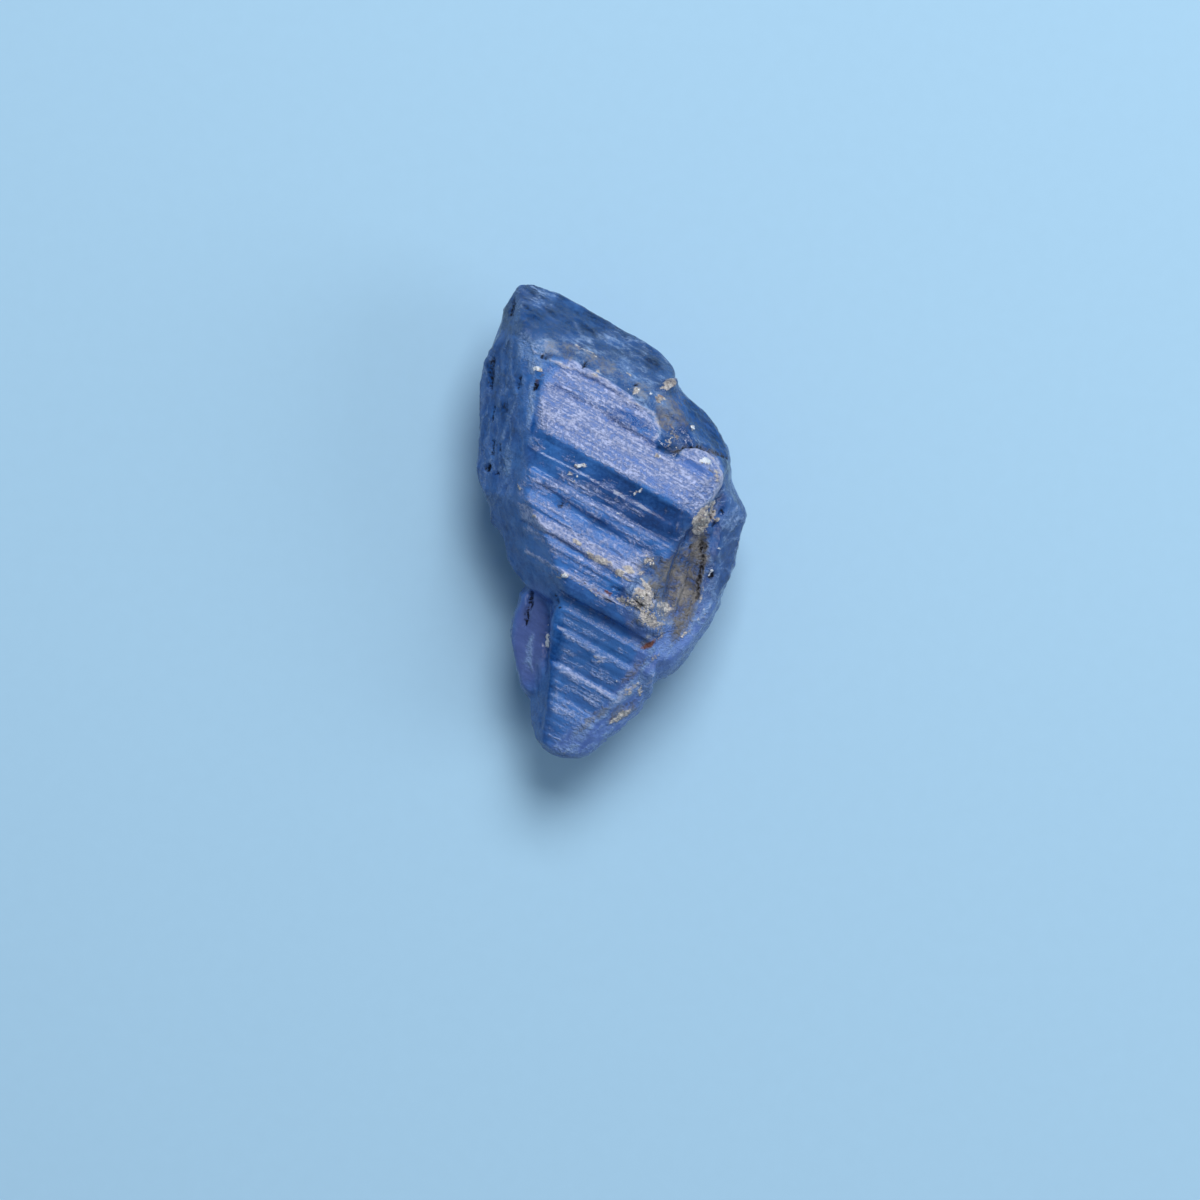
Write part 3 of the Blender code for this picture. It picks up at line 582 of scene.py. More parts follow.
class Surface:
    """Everything known about the crystal's surface at each vertex of its mesh."""

    def __init__(self, points, normals):
        self.points = points
        self.grain = turned(points, GRAIN_TURN)
        self.up = normals[:, 2]
        self.facing_up = ease(self.up, 0.02, 0.25)
        self.free = ease(points[:, 2], 0.02, 0.30)
        wobble = drift(points, 0.16, (11, 21), 0.05)
        self.spots = points[:, :2] + wobble
        self.find_faces(wobble)
        self.find_marks()
        self.find_lines()

    def find_faces(self, wobble):
        """Tells the front, the roof, the two left sides, the ledge and the tip apart."""
        along = self.grain[:, 0] + wobble[:, 0]
        self.across = self.grain[:, 1] + wobble[:, 1] * 0.4
        after_left = ease(along - along_table(self.across, LEFT_END), -0.10, 0.16)
        before_right = ease(along_table(self.across, RIGHT_END) - along, -0.08, 0.12)
        below_edge = ease(along_table(along, UPPER_EDGE) - self.across, -0.03, 0.05)
        past_edge = along_table(self.points[:, 1], DARK_EDGE) - self.spots[:, 0]
        self.front = self.facing_up * after_left * before_right * below_edge
        self.roof = self.facing_up * (1.0 - below_edge) * ease(self.across, 1.9, 2.2)
        self.left = self.facing_up * (1.0 - after_left) * below_edge
        self.right = self.facing_up * (1.0 - before_right) * below_edge
        self.dark_side = self.left * ease(past_edge, -0.05, 0.08)
        self.smooth_side = self.left - self.dark_side
        self.shown = np.clip(self.front + self.roof + self.left + self.right, 0.0, 1.0)
        self.tip = ease(-self.across, 2.4, 2.6)

    def find_marks(self):
        """Lays the drawn oval marks on the faces that look up."""
        ragged = self.points[:, :2] + drift(self.points, 0.05, (181, 191), 0.045)
        self.pit, self.crust, self.dirt, self.rust, self.haze, self.clearing, self.swelling = (
            most_of(self.spots, marks) * self.facing_up
            for marks in (PITS, CRUSTS_AND_SPARKLES, DIRTS, RUSTS, HAZES, CLEARINGS, SWELLINGS))
        self.glint = most_of(ragged, GLINTS) * self.facing_up
        self.window = on_mark(self.spots, RIGHT_WINDOW) * self.facing_up

    def find_lines(self):
        """Lays the drawn slits, ridges and grooves, with specks of crust on sharp ridges, partly
        painted highlights on their crests.
        """
        uneven = np.clip(0.85 + 0.45 * rough(self.points, 0.22, 175), 0.4, 1.2)
        self.slit_drop, self.slit = self.along(SLITS)
        self.ridge_lift, self.ridge_frost = self.along(RIDGES, uneven)
        self.groove_drop, self.groove_dirt_and_shade = self.along(GROOVES)
        # Specks of pale crust along the sharpest ridges, partly painted highlights on their
        # crests
        specks = 0.45 + 0.55 * ease(rough(self.points, 0.10, 171), -0.15, 0.45)
        self.crust = np.maximum(self.crust, ease(self.ridge_frost, 0.8, 1.6) * specks * 0.70)

    def along(self, lines, worn=1.0):
        """The most height or depth, and the most frost, dirt or painted shade, that drawn lines
        give.
        """
        size = np.zeros(len(self.points))
        amount = np.zeros(len(self.points))
        for path, half_width, line_size, line_amount in lines:
            line = on_line(self.spots, path, half_width) * self.facing_up * worn
            size = np.maximum(size, line * line_size)
            amount = np.maximum(amount, line * line_amount)
        return size, amount

    def fibres(self, length, width, seed):
        """Streaks along the grain of a length and a width."""
        return mottle(self.grain, (length, width, width * 4.0), seed)

    def strands(self, length, width, turn, seed):
        """Short turned strands of a length and a width."""
        places = turned(self.points, turn) / (length, width, length)
        return ease(mottle(places, 1.0, seed) * 0.7 + mottle(places * 2.1, 1.0, seed + 1) * 0.4,
                    -0.3, 0.5)

    def curled(self, turn, seed):
        """The points, turned and bent, so that a pattern laid on them curls."""
        bent = self.points.copy()
        bent[:, :2] += drift(self.points, 0.45, (seed + 7, seed + 9), 0.16)
        return turned(bent, turn)

    def smudges(self, size, turn, seed):
        """Curled patches of a length and a width."""
        return ease(rough(self.curled(turn, seed), size, seed), -0.15, 0.75)

    def veins(self, size, turn, seed):
        """Thin curled lines of a length and a spacing."""
        crossing = rough(self.curled(turn, seed), size, seed) / 0.11
        return np.exp(-crossing * crossing)

    def height(self):
        """How far the fine surface stands out of the plain solid, in millimetres."""
        points = self.points
        back = (1.0 - self.facing_up) * self.free
        striae = self.fibres(2.2, 0.11, 51) * 0.012 + self.fibres(1.2, 0.06, 52) * 0.008
        waves = self.smudges((0.9, 0.28, 0.9), -36, 61) * 0.040
        waves += self.smudges((0.34, 0.13, 0.34), -40, 65) * 0.022
        waved = self.roof + 0.35 * self.left + 0.4 * self.right + 0.7 * back
        scabs = rough(points, 0.10, 71) * 0.030
        height = rough(points, 1.3, 31) * 0.035 + rough(points, 0.34, 41) * 0.016
        height += striae * np.clip(self.front + 0.35, 0.0, 1.0)
        height += waves * np.clip(waved, 0.0, 1.0)
        height += rough(self.grain, (1.6, 0.30, 0.5), 35) * 0.05 * back
        height += self.ridge_lift - self.groove_drop - self.slit_drop - self.pit * 0.08
        height += self.glint * 0.02 + self.crust * (0.03 + scabs * 1.6)
        height += self.dirt * (scabs * 0.4 + self.strands(0.6, 0.13, 68, 73) * 0.018)
        height += self.swelling + mottle(points, 0.085, 75) * 0.007
        return height * self.free

    def band_frost(self):
        """Frost in bands on the front, cloudy at the left and in streaks on the tip."""
        bands = along_table(self.across, FROST_BANDS)
        bands += self.fibres(1.3, 0.09, 81) * 0.09 + rough(self.points, 0.20, 91) * 0.26
        cloudy = ease(rough(self.points, 0.42, 95), -0.1, 0.5)
        cloudy *= 1.0 - 0.75 * ease(self.grain[:, 0], 0.2, 0.9)
        bands += cloudy * 0.20 * (1.0 - bands)
        streaks = self.fibres(2.0, 0.055, 83) * 0.34 + self.fibres(1.4, 0.16, 85) * 0.22
        return bands + self.tip * streaks + 0.12 * ease(-self.across, 3.0, 3.8) + 0.08

    def roof_frost(self):
        """Pale curls and veins on the roof, thickest along its lower edge."""
        patches = ease(rough(self.points, 0.9, 101), -0.25, 0.45)
        curls = self.smudges((0.42, 0.13, 0.42), -38, 103)
        fades = 0.20 + 0.80 * patches
        total = 0.10 * ease(self.points[:, 0], -2.4, 1.4) * patches
        total += on_line(self.spots, ROOF_EDGE, 0.40) * (0.36 + 0.40 * curls)
        total += 0.50 * curls * curls * (0.15 + 0.85 * patches)
        total += 0.60 * self.veins((0.9, 0.26, 0.9), -38, 105) * fades
        return total + 0.50 * self.veins((0.45, 0.15, 0.45), -28, 115) * fades

    def side_frost(self):
        """Faint upright veins on the two left sides."""
        low = ease(self.points[:, 1], 0.6, -0.4)
        smooth = 0.04 - 0.06 * low + 0.24 * rough(self.points, (0.22, 0.9, 0.5), 111)
        smooth += 0.34 * self.veins((0.8, 0.30, 0.8), 82, 117) * (1.0 - 0.6 * low)
        dark = 0.30 * self.smudges((0.40, 0.14, 0.4), 80, 121)
        dark += 0.40 * self.veins((0.6, 0.18, 0.6), 82, 123)
        return self.smooth_side * smooth + self.dark_side * dark

    def ledge_frost(self):
        """Pale mottling and veins on the ledge, more at its lower end."""
        total = 0.14 * ease(self.points[:, 1], -1.8, -2.8)
        total += 0.34 * rough(self.points, (0.16, 0.30, 0.3), 131)
        return total + 0.60 * self.veins((0.6, 0.20, 0.6), 50, 133)

    def back_frost(self):
        """Faint haze along the grain and a few veins on what the front hides."""
        total = 0.10 + 0.30 * rough(self.grain, (1.4, 0.25, 0.5), 141)
        return total + 0.24 * self.veins((0.8, 0.30, 0.5), -30, 143)

    def frost(self):
        """How frosted and pale the surface is."""
        total = self.front * self.band_frost() + self.roof * self.roof_frost()
        total += self.side_frost() + self.right * self.ledge_frost()
        total += (1.0 - self.shown) * self.back_frost()
        total = np.clip(total, 0.0, 1.0) * (1.0 - self.clearing)
        total = np.maximum(total, self.ridge_frost)
        return np.clip(total + self.haze * np.clip(1.0 - 0.6 * total, 0.0, 1.0), 0.0, 1.6)

    def etched(self):
        """Where frost breaks into flecks instead of lying as a soft haze."""
        return np.clip(self.front * (1.0 - 0.45 * self.tip) + 0.15, 0.0, 1.0)

    def deep(self):
        """Where the crystal is clearest and darkest, with painted shade added on its flanks and
        in its grooves.
        """
        band = ease(self.across, 0.05, 0.25) * (1.0 - ease(self.across, 1.0, 1.2))
        band *= 0.45 + 0.55 * ease(self.grain[:, 0], -1.6, 1.2)
        step = 0.25 * ease(-self.across, 1.75, 1.85) * ease(self.across, -2.5, -2.2)
        total = self.front * np.maximum(band, step) + 1.05 * self.roof
        total += 0.66 * self.smooth_side + 0.95 * self.dark_side
        total += self.right * (0.35 + 0.60 * ease(self.points[:, 1], -2.8, -1.6))
        total = np.maximum.reduce([total, 1.5 * self.window, on_mark(self.spots, BAND_DEEP)])
        total += 0.55 * rough(self.points, (0.5, 0.3, 0.5), 161)
        # Grooves darken the body by their depth as painted shade in the creases; the inner glow
        # lightens it as a painted glow
        total += 5.0 * self.groove_drop - on_mark(self.spots, INNER_GLOW)
        # Painted shade: the body darkens where the surface turns away from straight up, a dark
        # rim on the flanks
        flank_shade = 1.0 - ease(self.up, 0.05, 0.42)
        return np.clip(total, 0.0, 1.35 - 0.35 * self.front) + 0.8 * flank_shade

    def clear(self):
        """Where light gets into the crystal instead of scattering at its surface."""
        inside = np.clip(self.front + self.roof + self.right, 0.0, 1.0)
        total = 0.18 + 0.40 * np.clip(self.deep(), 0.0, 1.0) * inside
        total *= (1.0 - 0.95 * self.window) * (1.0 - on_mark(self.spots, BAND_CLOUDED))
        thin = np.maximum(0.60 * on_mark(self.spots, FLAKE), on_mark(self.spots, THIN_TIP))
        return np.clip(np.maximum(total, thin), 0.0, 1.0)

    def violet(self):
        """How far the colour leans from blue to violet."""
        bands = 0.06 + 0.42 * ease(self.across, 1.15, 1.30)
        bands += 0.30 * ease(-self.across, 0.66, 0.72) * ease(self.across, -1.12, -1.04)
        bands *= 1.0 - on_mark(self.spots, BAND_BLUE)
        low = 0.16 + 0.50 * ease(-self.points[:, 1], 1.6, 2.6)
        total = self.left * 0.04 + self.right * low + self.front * bands
        total += (1.0 - self.shown) * 0.15 + rough(self.points, 0.8, 151) * 0.18
        return np.clip(np.maximum(total, most_of(self.spots, [FLAKE, *TIP_RIM])), 0.0, 1.0)

    def dark(self):
        """Painted shade in pits, slits and the bottoms of grooves."""
        lines = 0.75 * ease(self.groove_dirt_and_shade, 0.55, 1.0)
        return np.clip(np.maximum.reduce([self.pit, self.slit * 0.88, lines]), 0.0, 1.0)

    def finishes(self):
        """Every finish at each vertex, in the order of their names."""
        dirt = np.maximum(self.dirt, self.groove_dirt_and_shade * 0.8)
        return (self.frost(), self.deep(), self.clear(), self.violet(), self.etched(),
                self.crust, dirt, self.rust, self.dark(), self.glint)


def wear_down(mesh):
    """Rounds off the solid's edges along the worn lines."""
    points = points_of(mesh)
    ends = np.empty(len(mesh.edges) * 2, dtype=np.int64)
    mesh.edges.foreach_get("vertices", ends)
    starts, stops = ends.reshape(-1, 2).T
    count = len(points)
    near = (np.bincount(starts, minlength=count) + np.bincount(stops, minlength=count))[:, None]
    share = np.zeros(count)
    for path, half_width in WORN_LINES:
        share = np.maximum(share, on_line(points[:, :2], path, half_width))
    share = (0.6 * share * ease(points[:, 2], 1.5, 2.0))[:, None]
    for _ in range(WEAR_ROUNDS):
        total = np.stack([
            np.bincount(starts, points[stops, axis], count)
            + np.bincount(stops, points[starts, axis], count) for axis in range(3)], axis=1)
        points += share * (total / near - points)
    place_points(mesh, points)


def dress_crystal(mesh):
    """Raises the fine surface and marks where each finish lies."""
    wear_down(mesh)
    points = points_of(mesh)
    normals = normals_of(mesh)
    surface = Surface(points, normals)
    moved = points + normals * surface.height()[:, None]
    moved[:, 2] = np.maximum(moved[:, 2], 0.0)
    for name, values in zip(FINISHES, surface.finishes()):
        store(mesh, name, values)
    place_points(mesh, moved * MM)


def add(tree, kind, inputs=(), **settings):
    """Adds a node with its settings; an input is a value, a node or one output of a node."""
    node = tree.nodes.new(kind)
    for name, value in settings.items():
        setattr(node, name, value)
    shown = [socket for socket in node.inputs if socket.enabled]
    by_name = {socket.name: socket for socket in reversed(shown)}
    for key, value in inputs.items() if isinstance(inputs, dict) else enumerate(inputs):
        socket = by_name[key] if isinstance(key, str) else shown[key]
        if isinstance(value, bpy.types.Node):
            value = next(output for output in value.outputs if output.enabled)
        if isinstance(value, bpy.types.NodeSocket):
            tree.links.new(value, socket)
        else:
            socket.default_value = (*value, 1.0) if socket.type == "RGBA" else value
    return node


def new_material(name):
    """An empty material with its node tree and output."""
    material = bpy.data.materials.new(name)
    material.use_nodes = True
    material.node_tree.nodes.clear()
    output = add(material.node_tree, "ShaderNodeOutputMaterial")
    return material, material.node_tree, output


def shade(colour, factor):
    """A colour made darker or lighter."""
    return tuple(min(part * factor, 1.0) for part in colour)


def stone_patterns(tree):
    """The even patterns that break up every finish of the stone."""
    place = add(tree, "ShaderNodeTexCoord").outputs["Object"]
    grain, smears = (
        add(tree, "ShaderNodeMapping", {
            "Vector": place, "Rotation": (0.0, 0.0, math.radians(turn)),
            "Scale": (stretch, 1.0, 2.0)}, vector_type="TEXTURE")
        for turn, stretch in ((GRAIN_TURN, 8.0), (72.0, 5.0)))
    # 0.08 mm etched speckle, 0.06 mm fibres and 0.2 mm streaks of the striations, 0.4 mm clouds
    # and 0.07 mm strands of smeared dirt, each given as how many fit in a millimetre
    patterns = []
    for vector, per_mm, detail, roughness in (
            (place, 12.0, 3.0, 0.65), (grain, 17.0, 3.0, 0.60), (grain, 5.2, 4.0, 0.60),
            (place, 2.5, 5.0, 0.62), (smears, 14.0, 3.0, 0.60)):
        noise = add(tree, "ShaderNodeTexNoise", {
            "Vector": vector, "Scale": per_mm / MM, "Detail": detail, "Roughness": roughness})
        patterns.append(add(tree, "ShaderNodeMapRange", {
            "Value": noise, "From Min": 0.36, "From Max": 0.64}))
    return patterns


def stone_body(tree, settings, deep, violet, patchy):
    """The stone's colour: azure, deep blue where it is clear, with painted shade darkening its
    steep flanks and its grooves.
    """
    deep = add(tree, "ShaderNodeMath", [patchy, deep], operation="ADD")
    deep = add(tree, "ShaderNodeMath", [deep, 0.45], operation="SUBTRACT")
    body = add(tree, "ShaderNodeMix", [deep, settings.azure_colour, settings.depth_colour],
               data_type="RGBA")
    # Past 1 the blue darkens further: the darkest clear breaks, and painted shade on the flanks
    # and in the grooves
    steep = add(tree, "ShaderNodeMapRange", {"Value": deep, "From Min": 1.0, "From Max": 1.6})
    body = add(tree, "ShaderNodeMix", [steep, body, shade(settings.depth_colour, 0.35)],
               data_type="RGBA")
    return add(tree, "ShaderNodeMix", [violet, body, settings.violet_colour], data_type="RGBA")


def stone_frost(tree, frost, etched, flecks, clouds, streaks, patchy):
    """How much frost shows: flecks and streaks on the striations, soft haze on the breaks."""
    grainy = add(tree, "ShaderNodeMath", [frost, 0.45, 0.18], operation="MULTIPLY_ADD")
    streaky = add(tree, "ShaderNodeMix", [0.55, clouds, streaks])
    broken = add(tree, "ShaderNodeMix", [grainy, streaky, flecks])
    frosted = add(tree, "ShaderNodeMath", [frost, broken], operation="ADD")
    frosted = add(tree, "ShaderNodeMapRange", {
        "Value": frosted, "From Min": 0.76, "From Max": 1.34})
    sparse = add(tree, "ShaderNodeMapRange", {
        "Value": flecks, "From Min": 0.20, "From Max": 0.80, "To Min": 0.45, "To Max": 1.15})
    flecked = add(tree, "ShaderNodeMath", [frosted, sparse], operation="MULTIPLY",
                  use_clamp=True)
    soft = add(tree, "ShaderNodeMapRange", {"Value": patchy, "To Min": 0.20, "To Max": 1.60})
    hazed = add(tree, "ShaderNodeMath", [frost, soft], operation="MULTIPLY", use_clamp=True)
    return add(tree, "ShaderNodeMix", [etched, hazed, flecked])


def frosted_colour(tree, settings, body, rimed, frost, etched, flecks):
    """The body under its haze or its flecked frost, palest on the sharpest ridges, with a painted
    highlight along their crests.
    """
    tone = add(tree, "ShaderNodeMix", [
        flecks, shade(settings.frost_colour, 0.52), shade(settings.frost_colour, 1.50)],
        data_type="RGBA")
    tone = add(tree, "ShaderNodeMix", [etched, settings.haze_colour, tone], data_type="RGBA")
    rime_and_highlight = add(tree, "ShaderNodeMath", [flecks, 0.4, frost], operation="MULTIPLY_ADD")
    rime_and_highlight = add(tree, "ShaderNodeMapRange", {"Value": rime_and_highlight, "From Min": 1.05, "From Max": 1.60})
    colour = add(tree, "ShaderNodeMix", [rimed, body, tone], data_type="RGBA")
    return add(tree, "ShaderNodeMix", [rime_and_highlight, colour, settings.rime_and_highlight_colour], data_type="RGBA")


def tanzanite_material(settings):
    """Tanzanite, blue-violet zoisite: glass-clear and deep on clean breaks, frosted and pale on
    the striations, with chalky crust, grey-brown dirt and a little iron stain stuck to it."""
    material, tree, output = new_material("tanzanite")
    frost, deep, clear, violet, etched, crust, dirt, rust, dark, glint = (
        add(tree, "ShaderNodeAttribute", attribute_name=name).outputs["Fac"]
        for name in FINISHES)
    speckle, fibres, streaks, clouds, strands = stone_patterns(tree)
    flecks = add(tree, "ShaderNodeMix", [0.45, speckle, fibres])
    patchy = add(tree, "ShaderNodeMix", [0.50, clouds, speckle])
    smeared = add(tree, "ShaderNodeMix", [0.28, clouds, strands])
    rimed = stone_frost(tree, frost, etched, flecks, clouds, streaks, patchy)
    colour = stone_body(tree, settings, deep, violet, patchy)
    colour = frosted_colour(tree, settings, colour, rimed, frost, etched, flecks)

    film = add(tree, "ShaderNodeMix", [
        smeared, shade(settings.film_colour, 0.30), shade(settings.film_colour, 1.6)],
        data_type="RGBA")
    chalk = add(tree, "ShaderNodeMix", [patchy, settings.gap_colour, settings.crust_colour],
                data_type="RGBA")
    cover = 0.0
    for finish, pattern, low, high, tone in (
            (dirt, patchy, 0.82, 1.60, film), (crust, patchy, 0.85, 1.15, chalk),
            (rust, smeared, 0.85, 1.60, settings.rust_colour),
            # painted shade in pits, slits and groove bottoms
            (dark, speckle, 0.85, 1.45, settings.pit_shade_colour),
            # painted highlights at the glints
            (glint, speckle, 1.00, 1.40, settings.glint_colour)):
        amount = add(tree, "ShaderNodeMath", [pattern, 0.8, finish], operation="MULTIPLY_ADD")
        amount = add(tree, "ShaderNodeMapRange", {
            "Value": amount, "From Min": low, "From Max": high})
        colour = add(tree, "ShaderNodeMix", [amount, colour, tone], data_type="RGBA")
        cover = add(tree, "ShaderNodeMath", [cover, amount], operation="MAXIMUM")

    clean = add(tree, "ShaderNodeMath", [clear, settings.clarity], operation="MULTIPLY")
    hazed = add(tree, "ShaderNodeMath", [rimed, -0.50, clean], operation="MULTIPLY_ADD")
    clear = add(tree, "ShaderNodeMath", [hazed, cover], operation="SUBTRACT", use_clamp=True)
    matt = add(tree, "ShaderNodeMath", [rimed, 0.42, 0.08], operation="MULTIPLY_ADD")
    matt = add(tree, "ShaderNodeMath", [cover, 0.45, matt], operation="MULTIPLY_ADD",
               use_clamp=True)
    relief = add(tree, "ShaderNodeMath", [fibres, 0.45, speckle], operation="MULTIPLY_ADD")
    tooth = add(tree, "ShaderNodeMath", [rimed, cover], operation="ADD")
    tooth = add(tree, "ShaderNodeMath", [tooth, 0.12], operation="ADD", use_clamp=True)
    relief = add(tree, "ShaderNodeMath", [relief, tooth], operation="MULTIPLY")
    bump = add(tree, "ShaderNodeBump", {
        "Height": relief, "Strength": 0.9, "Distance": 0.03 * MM})
    shader = add(tree, "ShaderNodeBsdfPrincipled", {
        "Base Color": colour, "Roughness": matt, "IOR": 1.69, "Specular IOR Level": 0.07,
        "Transmission Weight": clear, "Normal": bump})
    tint = add(tree, "ShaderNodeVolumeAbsorption", {
        "Color": settings.absorb_colour, "Density": settings.absorb_density})
    tree.links.new(shader.outputs["BSDF"], output.inputs["Surface"])
    tree.links.new(tint.outputs["Volume"], output.inputs["Volume"])
    return material


def crumb_material(settings):
    """Weathered host rock, calcite and stained feldspar: dull, chalky and uneven."""
    material, tree, output = new_material("host_rock_crumbs")
    place = add(tree, "ShaderNodeTexCoord").outputs["Object"]
    # 0.1 mm patches, the size of the crumbs themselves
    patches = add(tree, "ShaderNodeTexNoise", {"Vector": place, "Scale": 9.0 / MM, "Detail": 3.0})
    spread = add(tree, "ShaderNodeMapRange", {
        "Value": patches, "From Min": 0.35, "From Max": 0.62})
    colour = add(tree, "ShaderNodeMix", [
        spread, shade(settings.crumb_colour, 0.14), settings.crumb_colour], data_type="RGBA")
    shader = add(tree, "ShaderNodeBsdfPrincipled", {
        "Base Color": colour, "Roughness": 0.82, "IOR": 1.55})
    tree.links.new(shader.outputs["BSDF"], output.inputs["Surface"])
    return material


def show(name, mesh, material):
    """Puts a finished mesh into the scene as one piece of the crystal."""
    piece = bpy.data.objects.new(name, mesh)
    bpy.context.scene.collection.objects.link(piece)
    mesh.materials.clear()
    mesh.materials.append(material)
    mesh.shade_smooth()
    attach(piece, "root")
    return piece


class TANZANITE_OT_crystal(bpy.types.Operator):
    """Build the crystal with its striations, breaks, frost, crust and pits"""

    bl_idname = "tanzanite.crystal"
    bl_label = "Crystal"

    def execute(self, context):
        settings = context.scene.tanzanite_crystal
        mesh = even_mesh(settings.grain_step)
        if len(mesh.vertices) < FEWEST_VERTICES:
            raise RuntimeError("the crystal's even mesh came out empty")
        dress_crystal(mesh)
        crystal = show("crystal_surface", mesh, tanzanite_material(settings))
        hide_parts(NODE)
        return {"FINISHED"}


def veil_shape(bm, place, lean, half_length, half_width, turn):
    """One thin wavy sheet, flat to the surface above it."""
    made = bmesh.ops.create_icosphere(bm, subdivisions=4, radius=1.0)
    face = lean.to_track_quat("Z", "Y").to_matrix()
    spin = Matrix.Rotation(math.radians(turn), 3, "Z")
    for vertex in made["verts"]:
        x, y, z = vertex.co
        rim = 1.0 + 0.14 * math.sin(5.0 * math.atan2(y, x)) + 0.08 * math.sin(9.0 * x)
        wave = 0.10 * math.sin(3.1 * x + 1.3 * y) + 0.05 * math.sin(5.3 * y)
        sheet = Vector((x * rim * half_length, y * rim * half_width,
                        z * 0.012 + wave * half_width))
        vertex.co = (face @ spin @ sheet) * MM + place


def veil_material(settings):
    """A healed crack: a dusting of tiny fluid drops that scatters light as a pale film."""
    material, tree, output = new_material("healed_crack")
    place = add(tree, "ShaderNodeTexCoord").outputs["Object"]
    # 0.08 mm drops, drawn coarser than the real ones so that they show
    drops = add(tree, "ShaderNodeTexNoise", {"Vector": place, "Scale": 12.0 / MM, "Detail": 2.0})
    open_part = add(tree, "ShaderNodeMapRange", {
        "Value": drops, "From Min": 0.44, "From Max": 0.60, "To Min": 1.0, "To Max": 0.15})
    shader = add(tree, "ShaderNodeBsdfPrincipled", {
        "Base Color": settings.veil_colour, "Roughness": 0.35, "IOR": 1.10,
        "Transmission Weight": open_part})
    tree.links.new(shader.outputs["BSDF"], output.inputs["Surface"])
    return material


def surface_of_crystal():
    """The finished crystal, ready to be asked where its surface lies."""
    crystal = bpy.data.objects.get("crystal_surface")
    if crystal is None:
        raise RuntimeError("build the crystal first")
    return BVHTree.FromPolygons([v.co for v in crystal.data.vertices],
                                [p.vertices for p in crystal.data.polygons])


def surface_under(surface, x, y):
    """Place and direction of the crystal's surface at X and Y in millimetres."""
    return surface.ray_cast(Vector((x, y, ABOVE_ALL)) * MM, Vector((0.0, 0.0, -1.0)))[:2]


class TANZANITE_OT_veils(bpy.types.Operator):
    """Seal the healed cracks inside the clear parts of the crystal"""

    bl_idname = "tanzanite.veils"
    bl_label = "Healed Cracks"

    def execute(self, context):
        settings = context.scene.tanzanite_veils
        surface = surface_of_crystal()
        bm = bmesh.new()
        for x, y, depth, half_length, half_width, turn in VEILS:
            place, lean = surface_under(surface, x, y)
            if place is None:
                raise RuntimeError("a healed crack lies outside the crystal")
            place = place - lean * depth * settings.veil_depth * MM
            veil_shape(bm, place, lean, half_length, half_width, turn)
        mesh = bpy.data.meshes.new("healed_cracks")
        bm.to_mesh(mesh)
        bm.free()
        show("healed_cracks", mesh, veil_material(settings))
        return {"FINISHED"}


def crumb_shape(bm, place, size, rng):
    """One small broken grain."""
    made = bmesh.ops.create_icosphere(bm, subdivisions=1, radius=1.0)
    stretch = Vector(rng.uniform(0.6, 1.25, 3)) * size
    turn = Matrix.Rotation(rng.uniform(0.0, 6.28), 3, Vector(rng.normal(size=3)).normalized())
    for vertex in made["verts"]:
        dent = rng.uniform(0.78, 1.15)
        vertex.co = turn @ (vertex.co * stretch * dent) + place


class TANZANITE_OT_crumbs(bpy.types.Operator):
    """Scatter the loose crumbs of crust over their heaps on the broken edges"""

    bl_idname = "tanzanite.crumbs"
    bl_label = "Crumbs"

    def execute(self, context):
        settings = context.scene.tanzanite_crumbs
        surface = surface_of_crystal()
        rng = np.random.default_rng(7)
        bm = bmesh.new()
        for x, y, half_length, half_width, turn, count, size in CRUMB_HEAPS:
            angle = math.radians(turn)
            for _ in range(count):
                run, side = rng.normal(0.0, 0.5, 2) * (half_length, half_width)
                px = x + run * math.cos(angle) - side * math.sin(angle)
                py = y + run * math.sin(angle) + side * math.cos(angle)
                spot, lean = surface_under(surface, px, py)
                if spot is None or spot.z < CRUMBS_FROM * MM:
                    continue
                grain = size * rng.uniform(0.40, 1.45) * settings.size_factor
                crumb_shape(bm, spot - lean * grain * MM * 0.45, grain * MM, rng)
        mesh = bpy.data.meshes.new("crust_crumbs")
        bm.to_mesh(mesh)
        bm.free()
        show("crust_crumbs", mesh, crumb_material(settings))
        return {"FINISHED"}


def soft_light(name, place, power):
    """One square soft white light aimed at the crystal."""
    lamp = bpy.data.lights.new(name, "AREA")
    lamp.shape = "SQUARE"
    lamp.size = LIGHT_SIZE
    lamp.energy = power
    light = bpy.data.objects.new(name, lamp)
    bpy.context.scene.collection.objects.link(light)
    light.location = place
    away = Vector(place) - Vector([part * MM for part in LIGHT_AIM])
    light.rotation_euler = away.to_track_quat("Z", "Y").to_euler()


def floor_material(settings):
    """Matt paper: even, with the slight tooth that keeps it from looking like plastic."""
    material, tree, output = new_material("matt_paper")
    place = add(tree, "ShaderNodeTexCoord").outputs["Object"]
    # 0.4 mm tooth of the sheet
    tooth = add(tree, "ShaderNodeTexNoise", {"Vector": place, "Scale": 2.5 / MM, "Detail": 2.0})
    colour = add(tree, "ShaderNodeMix", [
        tooth, shade(settings.floor_colour, 0.97), settings.floor_colour], data_type="RGBA")
    shader = add(tree, "ShaderNodeBsdfPrincipled", {
        "Base Color": colour, "Roughness": 0.9, "IOR": 1.45})
    tree.links.new(shader.outputs["BSDF"], output.inputs["Surface"])
    return material


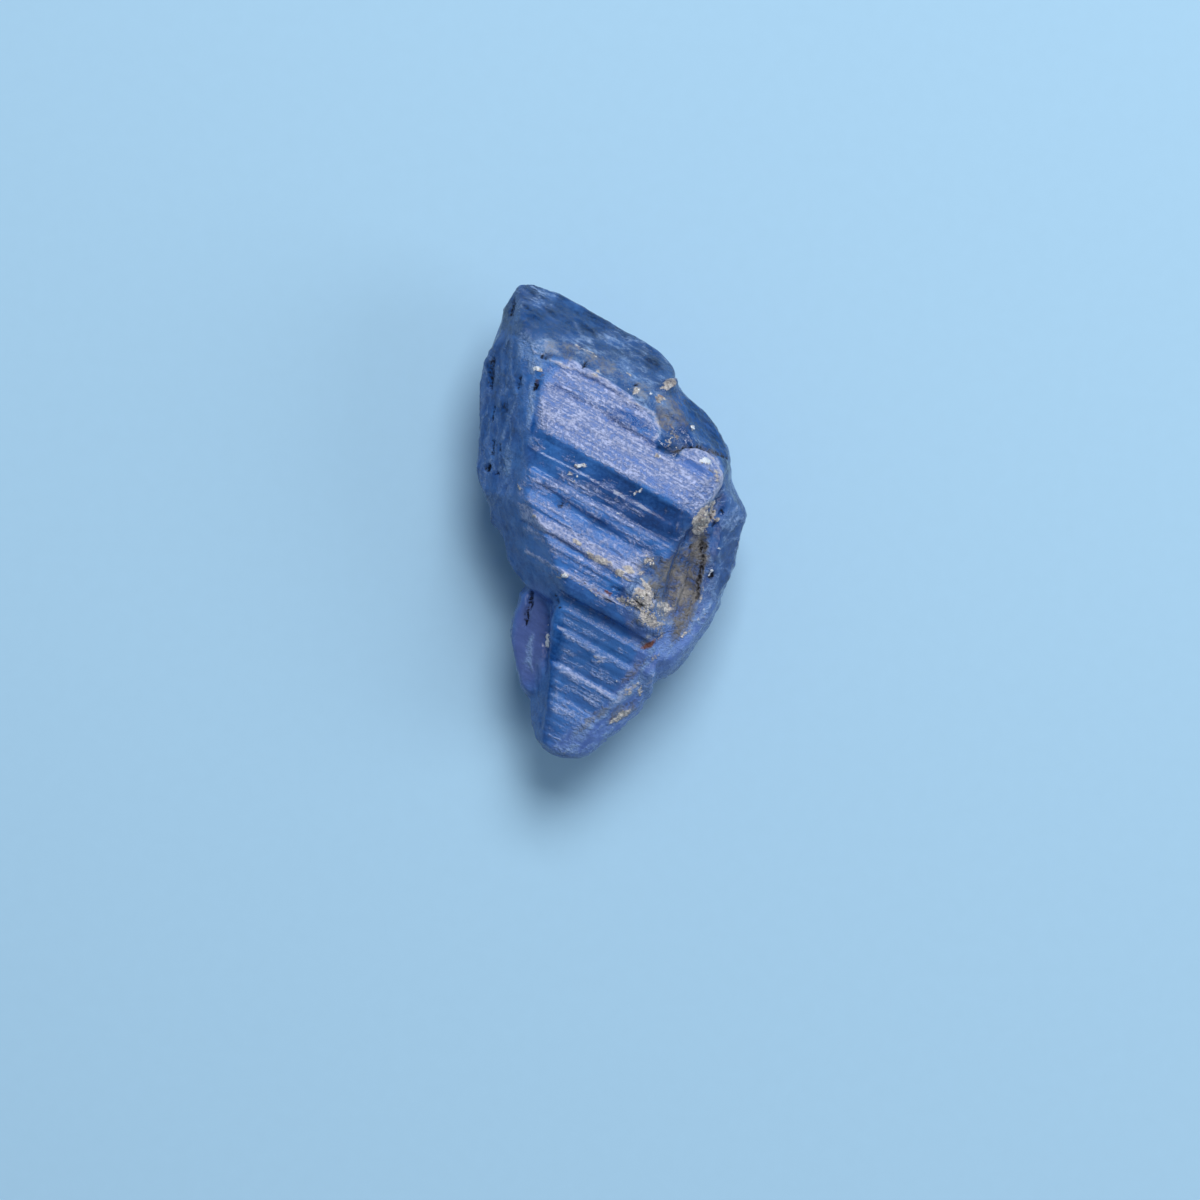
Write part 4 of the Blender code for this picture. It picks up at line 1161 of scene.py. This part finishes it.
class TANZANITE_OT_stage(bpy.types.Operator):
    """Lay the floor, hang the soft lights and set the camera over the front"""

    bl_idname = "tanzanite.stage"
    bl_label = "Stage"

    def execute(self, context):
        settings = context.scene.tanzanite_stage
        corners = [(FLOOR_HALF * x, FLOOR_HALF * y, 0.0)
                   for x, y in ((-1, -1), (1, -1), (1, 1), (-1, 1))]
        mesh = bpy.data.meshes.new("floor")
        mesh.from_pydata(corners, [], [(0, 1, 2, 3)])
        floor = bpy.data.objects.new("floor", mesh)
        mesh.materials.append(floor_material(settings))
        context.scene.collection.objects.link(floor)
        soft_light("main_light", MAIN_LIGHT, settings.key_power)
        soft_light("side_light", SIDE_LIGHT, settings.key_power * 0.22)
        world = bpy.data.worlds.new("room")
        context.scene.world = world
        world.use_nodes = True
        sky = world.node_tree.nodes["Background"]
        sky.inputs["Color"].default_value = ROOM_COLOUR
        sky.inputs["Strength"].default_value = settings.sky_strength
        lens = bpy.data.cameras.new("camera")
        # 30.2 mm of the scene across the picture from 150 mm above the front
        lens.sensor_width = 36.0
        lens.lens = 178.8
        lens.clip_start = 0.01
        lens.clip_end = 10.0
        camera = bpy.data.objects.new("camera", lens)
        context.scene.collection.objects.link(camera)
        camera.location = [part * MM for part in CAMERA_PLACE]
        context.scene.camera = camera
        context.scene.view_settings.view_transform = "Standard"
        return {"FINISHED"}


class TANZANITE_PT_panel(bpy.types.Panel):
    """The sidebar panel with the crystal's settings"""

    bl_idname = "TANZANITE_PT_panel"
    bl_label = "Rough Tanzanite"
    bl_space_type = "VIEW_3D"
    bl_region_type = "UI"
    bl_category = "Tanzanite"

    def draw(self, context):
        scene = context.scene
        for group, operator in (
                (scene.tanzanite_crystal, TANZANITE_OT_crystal),
                (scene.tanzanite_veils, TANZANITE_OT_veils),
                (scene.tanzanite_crumbs, TANZANITE_OT_crumbs),
                (scene.tanzanite_stage, TANZANITE_OT_stage)):
            box = self.layout.box()
            for name in group.__annotations__:
                box.prop(group, name)
            box.operator(operator.bl_idname)


CLASSES = (
    CrystalSettings, VeilSettings, CrumbSettings, StageSettings, TANZANITE_OT_crystal,
    TANZANITE_OT_veils, TANZANITE_OT_crumbs, TANZANITE_OT_stage, TANZANITE_PT_panel,
)
SETTINGS = (
    ("tanzanite_crystal", CrystalSettings),
    ("tanzanite_veils", VeilSettings),
    ("tanzanite_crumbs", CrumbSettings),
    ("tanzanite_stage", StageSettings),
)


def register():
    """Makes the settings, the operators and the panel known."""
    for item in CLASSES:
        bpy.utils.register_class(item)
    for name, group in SETTINGS:
        setattr(bpy.types.Scene, name, bpy.props.PointerProperty(type=group))


def unregister():
    """Takes them away again."""
    for name, _ in SETTINGS:
        delattr(bpy.types.Scene, name)
    for item in reversed(CLASSES):
        bpy.utils.unregister_class(item)


def main():
    """Builds the crystal, its healed cracks, its crumbs and its stage."""
    register()
    bpy.ops.tanzanite.crystal()
    bpy.ops.tanzanite.veils()
    bpy.ops.tanzanite.crumbs()
    bpy.ops.tanzanite.stage()


if __name__ == "__main__":
    main()
